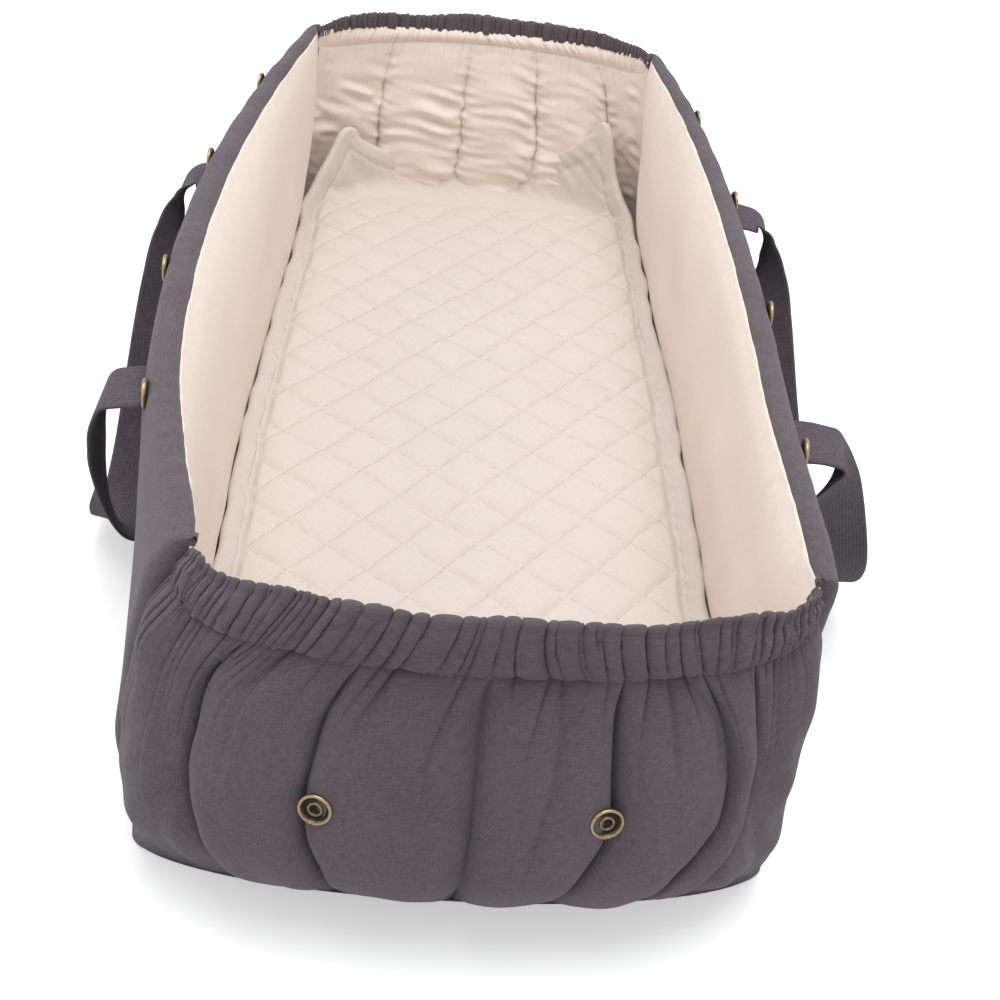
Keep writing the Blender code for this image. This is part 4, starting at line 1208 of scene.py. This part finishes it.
def quilting(x, y):
    """Height of the quilted cloth over its back.

    Two families of slanted seams sink it. The distance to a seam is a triangle wave, and the sink is
    an exponential of it: a narrow one for the stitches, and a wide one for the pillow between them.
    """
    right, far = x - DIAMOND_START[0], y - DIAMOND_START[1]
    u = (right * math.cos(DIAMOND_TURN) + far * math.sin(DIAMOND_TURN)) / DIAMOND_HALF_WIDTH
    v = (far * math.cos(DIAMOND_TURN) - right * math.sin(DIAMOND_TURN)) / DIAMOND_HALF_LENGTH
    away = [SEAM_STEP * np.abs(np.mod(seam + 1, 2) - 1) for seam in (u + v, u - v)]
    narrow = np.maximum(*(np.exp(-near / SEAM_SINK_WIDTH) for near in away))
    swell = [1 - np.exp(-near / PILLOW_SINK_WIDTH) for near in away]
    wide = 1 - swell[0] * swell[1]
    pucker = PUCKER * waves(x, y, 0.009, 67) * np.exp(-np.minimum(*away) / 0.004)
    field, rim = inside(x, y, HEM, PLAIN_BAND), inside(x, y, 0, 0)
    sewn = ease(0.0, 0.004, field)
    seam = np.exp(-np.abs(rim - HEM) / SEAM_SINK_WIDTH)
    gather = 0.0007 * waves(x + y, 0.2 * (x - y), 0.011, 68) * np.exp(-np.abs(rim - HEM) / 0.009)
    plain = HEM_HEIGHT - HEM_SINK * seam - 0.0026 * np.exp(-rim / 0.0012) + gather
    quilt = TOPPER_HIGH.z - TOPPER_LOW.z - SEAM_SINK * narrow - PILLOW_SINK * wide + pucker
    edge = 0.0035 * np.exp(-field / 0.012)
    return plain * (1 - sewn) + sewn * (quilt - edge) + waves(x, y, 0.03, 63) * 0.0004


def topper_spot(grid, x, y):
    """Points of the laid sheet's grid at places of the flat sheet, by weighing the four nearest."""
    column = (x / TOPPER_HALF_WIDTH + 1) / 2 * (TOPPER_COLUMNS - 1)
    row = (y - TOPPER_ENDS[0]) / (TOPPER_ENDS[1] - TOPPER_ENDS[0]) * (TOPPER_ROWS - 1)
    i, j = np.floor(row).astype(int), np.floor(column).astype(int)
    a, b = (row - i)[:, None], (column - j)[:, None]
    before, after = (grid[k, j] * (1 - b) + grid[k, j + 1] * b for k in (i, i + 1))
    return before * (1 - a) + after * a


def seam_lines(top):
    """The quilting seams as lines on the laid sheet: u plus or minus v is an even number along each."""
    face, lines = normals(top), []
    v = np.arange(-2 * SEAM_NUMBER, 2 * SEAM_NUMBER, SEAM_SAMPLE)
    for sign in (-1, 1):
        for number in range(-SEAM_NUMBER, SEAM_NUMBER + 1):
            u = 2 * number - sign * v
            across, along = u * DIAMOND_HALF_WIDTH, v * DIAMOND_HALF_LENGTH
            x = DIAMOND_START[0] + across * math.cos(DIAMOND_TURN) - along * math.sin(DIAMOND_TURN)
            y = DIAMOND_START[1] + across * math.sin(DIAMOND_TURN) + along * math.cos(DIAMOND_TURN)
            kept = inside(x, y, HEM, PLAIN_BAND) > 0.001
            if kept.sum() > 8:
                lines.append([topper_spot(each, x[kept], y[kept]) for each in (top, face)])
    return lines


def hem_line(top):
    """The hem's seam along both sides and the far edge, at an even distance from them."""
    low, high = TOPPER_ENDS[0] + HEM, TOPPER_ENDS[1] - HEM
    side = TOPPER_HALF_WIDTH - HEM
    long, short = HEM_SAMPLES
    y = np.concatenate([np.linspace(low, high, long), np.full(short, high), np.linspace(high, low, long)])
    x = np.concatenate([np.full(long, -side), np.linspace(-side, side, short), np.full(long, side)])
    return [topper_spot(each, x, y) for each in (top, normals(top))]


def lining_beside(way, y):
    """Distance from the middle to the lining at the topper's height, for places along the carrycot."""
    grid = LINING_GRIDS["right" if way > 0 else "left"]
    row = int(np.abs(grid[:, 0, 2] - TOPPER_HIGH.z).argmin())
    order = np.argsort(grid[row, :, 1])
    return way * np.interp(np.clip(y, *BESIDE_ALONG), grid[row, order, 1], grid[row, order, 0])


def add_topper():
    """Quilted sheet on the mattress; its back lies flat and then turns up with it."""
    y = np.linspace(*TOPPER_ENDS, TOPPER_ROWS)[:, None]
    x = np.linspace(-1, 1, TOPPER_COLUMNS)[None, :] * TOPPER_HALF_WIDTH + 0 * y
    y = y + 0 * x
    into = np.maximum(np.maximum(y - TOPPER_ENDS[1], TOPPER_ENDS[0] - y) + TOPPER_CORNER, 0)
    trim = TOPPER_CORNER - np.sqrt(np.maximum(TOPPER_CORNER ** 2 - into ** 2, 0))
    wavy = 0.0009 * waves(y, 0 * y, 0.045, 66) * (x / TOPPER_HALF_WIDTH) ** 6
    laid = x * (1 - trim / TOPPER_HALF_WIDTH) + wavy
    room = np.where(x > 0, lining_beside(1, y), lining_beside(-1, y)) + EDGE_PRESS
    outward = ease(0.4, 1, np.abs(x) / TOPPER_HALF_WIDTH)
    laid = laid * (1 + (room / TOPPER_HALF_WIDTH - 1) * outward)
    back = turned_up(laid, y) + np.array([0, 0, TOPPER_LOW.z])
    back[..., 2] += EDGE_CURL * ease(TOPPER_HALF_WIDTH - EDGE_CURL_WIDTH, TOPPER_HALF_WIDTH, np.abs(x))
    back[..., 2] += FAR_CLIMB * (1 + x / TOPPER_HALF_WIDTH) * ease(FAR_CLIMB_START, TOPPER_ENDS[1], y)
    crawl = 0.0008 * waves(x, y, 0.10, 64)
    top = back + normals(back) * (quilting(x, y) + crawl)[..., None]
    piece = shell("diamond_topper", top, 0, QUILT, back, 4)
    declare(piece, "mattress", ["quilted_topper"])
    lines = seam_lines(top) + [hem_line(top)]
    stitches("quilting_stitches", lines, CREAM_THREAD, "mattress", QUILTING_THREAD)


add_topper()

# %% [markdown]
# The carrying loops are 38 mm cotton webbing. A ribbon is a path with the direction of its width at
# each point, and the ribs are real ridges across the grid, because they show on the lit part.

# %% Webbing loops
WEBBING_WIDTH = 0.038
WEBBING_THICKNESS = 0.0018
RIB_COUNT = 19
RIB_SAMPLES = 4
RIB_HEIGHT = 0.00025
WEBBING_EDGE = 0.03
LOOP_STEPS = 320
ROOT_HEIGHT = 0.166
LEFT_ROOT = -0.181
RIGHT_ROOT = -0.188
BACK_ROOT = 0.079
ROOT_OUT = (0.150, 0.178)
# Routes: distance out from the middle, place along, height, and the half turn of the width
LEFT_ROUTE = (
    (0.1865, LEFT_ROOT, 0.1635, 0.0),
    (0.1915, -0.181, 0.154, 0.0),
    (0.1950, -0.177, 0.136, 0.0),
    (0.1975, -0.167, 0.108, 0.03),
    (0.1995, -0.154, 0.081, 0.08),
    (0.2015, -0.140, 0.055, 0.17),
    (0.2035, -0.122, 0.033, 0.30),
    (0.2050, -0.099, 0.0185, 0.42),
    (0.2050, -0.073, 0.0155, 0.50),
    (0.2030, -0.046, 0.030, 0.56),
    (0.2005, -0.020, 0.057, 0.62),
    (0.1985, 0.006, 0.087, 0.70),
    (0.1975, 0.032, 0.115, 0.81),
    (0.1970, 0.052, 0.1345, 0.90),
    (0.1950, 0.066, 0.1485, 0.96),
    (0.1915, 0.0745, 0.1580, 1.0),
    (0.1865, 0.0785, 0.1635, 1.0),
)
RIGHT_ROUTE = (
    (0.1860, RIGHT_ROOT, 0.1635, 0.02),
    (0.1885, -0.187, 0.153, 0.14),
    (0.1905, -0.186, 0.139, 0.28),
    (0.1950, -0.184, 0.118, 0.38),
    (0.2020, -0.179, 0.093, 0.43),
    (0.2095, -0.167, 0.068, 0.46),
    (0.2150, -0.145, 0.043, 0.48),
    (0.2170, -0.116, 0.0235, 0.50),
    (0.2140, -0.084, 0.0145, 0.50),
    (0.2080, -0.052, 0.026, 0.53),
    (0.2005, -0.020, 0.058, 0.60),
    (0.1955, 0.008, 0.090, 0.70),
    (0.1940, 0.034, 0.117, 0.82),
    (0.1940, 0.053, 0.1350, 0.91),
    (0.1930, 0.066, 0.1485, 0.97),
    (0.1905, 0.0745, 0.1580, 1.0),
    (0.1865, 0.0785, 0.1635, 1.0),
)


def smooth_route(root, route):
    """Even steps along a smooth curve: out of the wall at the root, through the rows and in again."""
    first = [(out, root, ROOT_HEIGHT, 0.0) for out in ROOT_OUT]
    last = [(out, BACK_ROOT, ROOT_HEIGHT, 1.0) for out in ROOT_OUT[::-1]]
    rows = np.array([*first, *route, *last])
    span = travelled(rows[:, :3])
    at = np.linspace(0, span[-1], LOOP_STEPS)
    return np.stack([curve(at, span, rows[:, k]) for k in range(rows.shape[1])], axis=1)


def add_loop(name, way, root, route):
    """Ribbon with rounded edges and lengthwise ribs on both faces."""
    path = smooth_route(root, route)
    centre = path[:, :3] * np.array([way, 1, 1])
    turn = path[:, 3] * math.pi
    along = unit(np.gradient(centre, axis=0))
    width = np.stack([-np.sin(turn) * -way, np.cos(turn), 0 * turn], axis=1)
    width = unit(width - along * np.sum(width * along, axis=1, keepdims=True))
    up = np.cross(width, along)
    across = np.linspace(-0.5, 0.5, RIB_COUNT * RIB_SAMPLES + 1)
    rib = RIB_HEIGHT * np.abs(np.cos(math.pi * RIB_COUNT * (across + 0.5))) ** 0.7
    edge = np.minimum(1, (0.5 - np.abs(across)) / WEBBING_EDGE) ** 0.5
    body = WEBBING_THICKNESS / 2 * edge + rib * (np.abs(across) < 0.49)
    lay = np.concatenate([across, across[-2:0:-1]]) * WEBBING_WIDTH
    level = np.concatenate([body, -body[-2:0:-1]])
    points = centre[:, None] + width[:, None] * lay[None, :, None] + up[:, None] * level[None, :, None]
    faces = tube_faces(*points.shape[:2])
    travel = travelled(centre)
    flat = np.stack(np.broadcast_arrays(lay, travel[:, None]), axis=2).reshape(-1, 2)
    piece = build_mesh(name + "_webbing_loop", points.reshape(-1, 3), faces, WEBBING, flat)
    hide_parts(*(name + part for part in ("_handle_loop", "_front_handle_tab", "_back_handle_tab")))
    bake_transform(piece)
    print(piece.name, "webbing length", round(float(travel[-1]), 3))


add_loop("left", -1, LEFT_ROOT, LEFT_ROUTE)
add_loop("right", 1, RIGHT_ROOT, RIGHT_ROUTE)

# %% [markdown]
# A press stud is turned brass: a rolled outer ring, a dark dish and a hollow post in the middle. The
# same profile is spun at each CAD ring, standing on the cloth that the scene gives it.

# %% Press studs
STUD_SIDES = 48
SEAT_REACH = 0.0065
TILT_REACH = 0.014
SEAT_DEPTH = 0.015
SPINE_HALF_LENGTH = 0.25
AGE_SCALE = 900.0
DARK_BRASS = (0.006, 0.004, 0.003)
RUBBED_BRASS = (0.52, 0.39, 0.22)


def brass_material():
    """Aged brass: the wear attribute says where cloth has rubbed it bright; the rest is nearly black."""
    material = bpy.data.materials.new("antique_brass")
    material.use_nodes = True
    tree = material.node_tree
    place = add_node(tree, "TexCoord").outputs["Object"]
    rubbed = add_node(tree, "Attribute", attribute_name="wear").outputs["Fac"]
    age = spread(tree, place_group(tree, FADING, {"Place": place, "Scale": AGE_SCALE}), 0.25, 0.75)
    age = math_node(tree, "MULTIPLY", rubbed, math_node(tree, "MULTIPLY_ADD", age, 0.4, 0.6))
    feed(tree, tree.nodes["Principled BSDF"], {
        "Base Color": mix_colors(tree, age, DARK_BRASS, RUBBED_BRASS),
        "Metallic": math_node(tree, "MULTIPLY_ADD", age, 0.5, 0.5),
        "Roughness": math_node(tree, "MULTIPLY_ADD", age, -0.25, 0.50),
    })
    return material


BRASS = brass_material()
# Radius, height over the cloth and wear of each ring of the profile, outside to middle
RING_PROFILE = (
    (0.0068, -0.0004, 0.1), (0.0073, 0.0002, 0.4), (0.00765, 0.0010, 0.8), (0.0075, 0.0017, 1.0),
    (0.0070, 0.0021, 1.0), (0.0065, 0.0020, 0.8), (0.0061, 0.0015, 0.35), (0.0058, 0.0008, 0.1),
    (0.0054, 0.0004, 0.0), (0.0046, 0.0003, 0.0), (0.0038, 0.0004, 0.05), (0.0035, 0.0009, 0.35),
    (0.0033, 0.0013, 0.6), (0.0029, 0.0015, 0.65), (0.0025, 0.0013, 0.4), (0.0023, 0.0008, 0.1),
    (0.0021, 0.0003, 0.0), (0.0001, 0.0002, 0.0),
)


def ring_frame(node):
    """Middle and outward axis of a CAD ring, from the spread of its points."""
    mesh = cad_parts[node].data
    points = np.array([vert.co for vert in mesh.vertices])
    middle = (points.max(axis=0) + points.min(axis=0)) / 2
    axis = np.linalg.svd(points - points.mean(axis=0))[2][2]
    spine = np.clip(middle[1], -SPINE_HALF_LENGTH, SPINE_HALF_LENGTH)
    outward = np.array([middle[0], middle[1] - spine, 0])
    return middle, axis if axis @ outward > 0 else -axis


def seat_on(grid, middle, axis):
    """Where the axis meets the cloth, from the levels of the points near it, and their mean normal."""
    away = grid.reshape(-1, 3) - middle
    level = away @ axis
    aside = np.linalg.norm(away - level[:, None] * axis, axis=1)
    near, wide = ((aside < reach) & (np.abs(level) < SEAT_DEPTH) for reach in (SEAT_REACH, TILT_REACH))
    normal = unit(normals(grid).reshape(-1, 3)[wide].mean(axis=0))
    return middle + axis * np.quantile(level[near], 0.6), normal


def add_stud(side, number):
    """One stud on the cloth under its CAD ring; on the ends it tilts halfway to the cloth's normal."""
    middle, axis = ring_frame(f"{side}_stud_ring_{number}")
    spot, normal = seat_on({**SIDE_GRIDS, **END_GRIDS}[side], middle, axis)
    axis = unit(axis + normal) if side in END_GRIDS else axis
    frame_turn = np.array(Vector(axis).to_track_quat("Z", "Y").to_matrix())
    turn = np.linspace(0, 2 * math.pi, STUD_SIDES + 1)[:-1]
    radius, height, wear = np.array(RING_PROFILE).T[..., None]
    ring = np.stack([radius * np.cos(turn), radius * np.sin(turn), height + 0 * turn], axis=2)
    points = (spot + ring @ frame_turn.T).reshape(-1, 3)
    piece = build_mesh(f"{side}_press_stud_{number}", points, tube_faces(*ring.shape[:2]), BRASS)
    rubbed = piece.data.attributes.new("wear", "FLOAT", "POINT")
    rubbed.data.foreach_set("value", (wear + 0 * turn).astype(np.float32).ravel())
    nodes = [f"{side}_stud_{part}_{number}" for part in ("ring", "post")]
    declare(piece, "carrycot", nodes)


for stud_side, stud_count in (("left", 4), ("right", 4), ("front", 2), ("back", 2)):
    for stud_number in range(1, stud_count + 1):
        add_stud(stud_side, stud_number)

# %% [markdown]
# The floor's board and lining are right as the CAD made them, so they only need their finish.

# %% Finish of the CAD nodes that stay
for kept, finish in (("base_board", BOARD), ("base_lining", COTTON)):
    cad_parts[kept].data.materials.clear()
    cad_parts[kept].data.materials.append(finish)

# %% [markdown]
# The last cell sets the view transform, and closes the lesson.

# %% View transform
bpy.context.scene.view_settings.view_transform = "Standard"
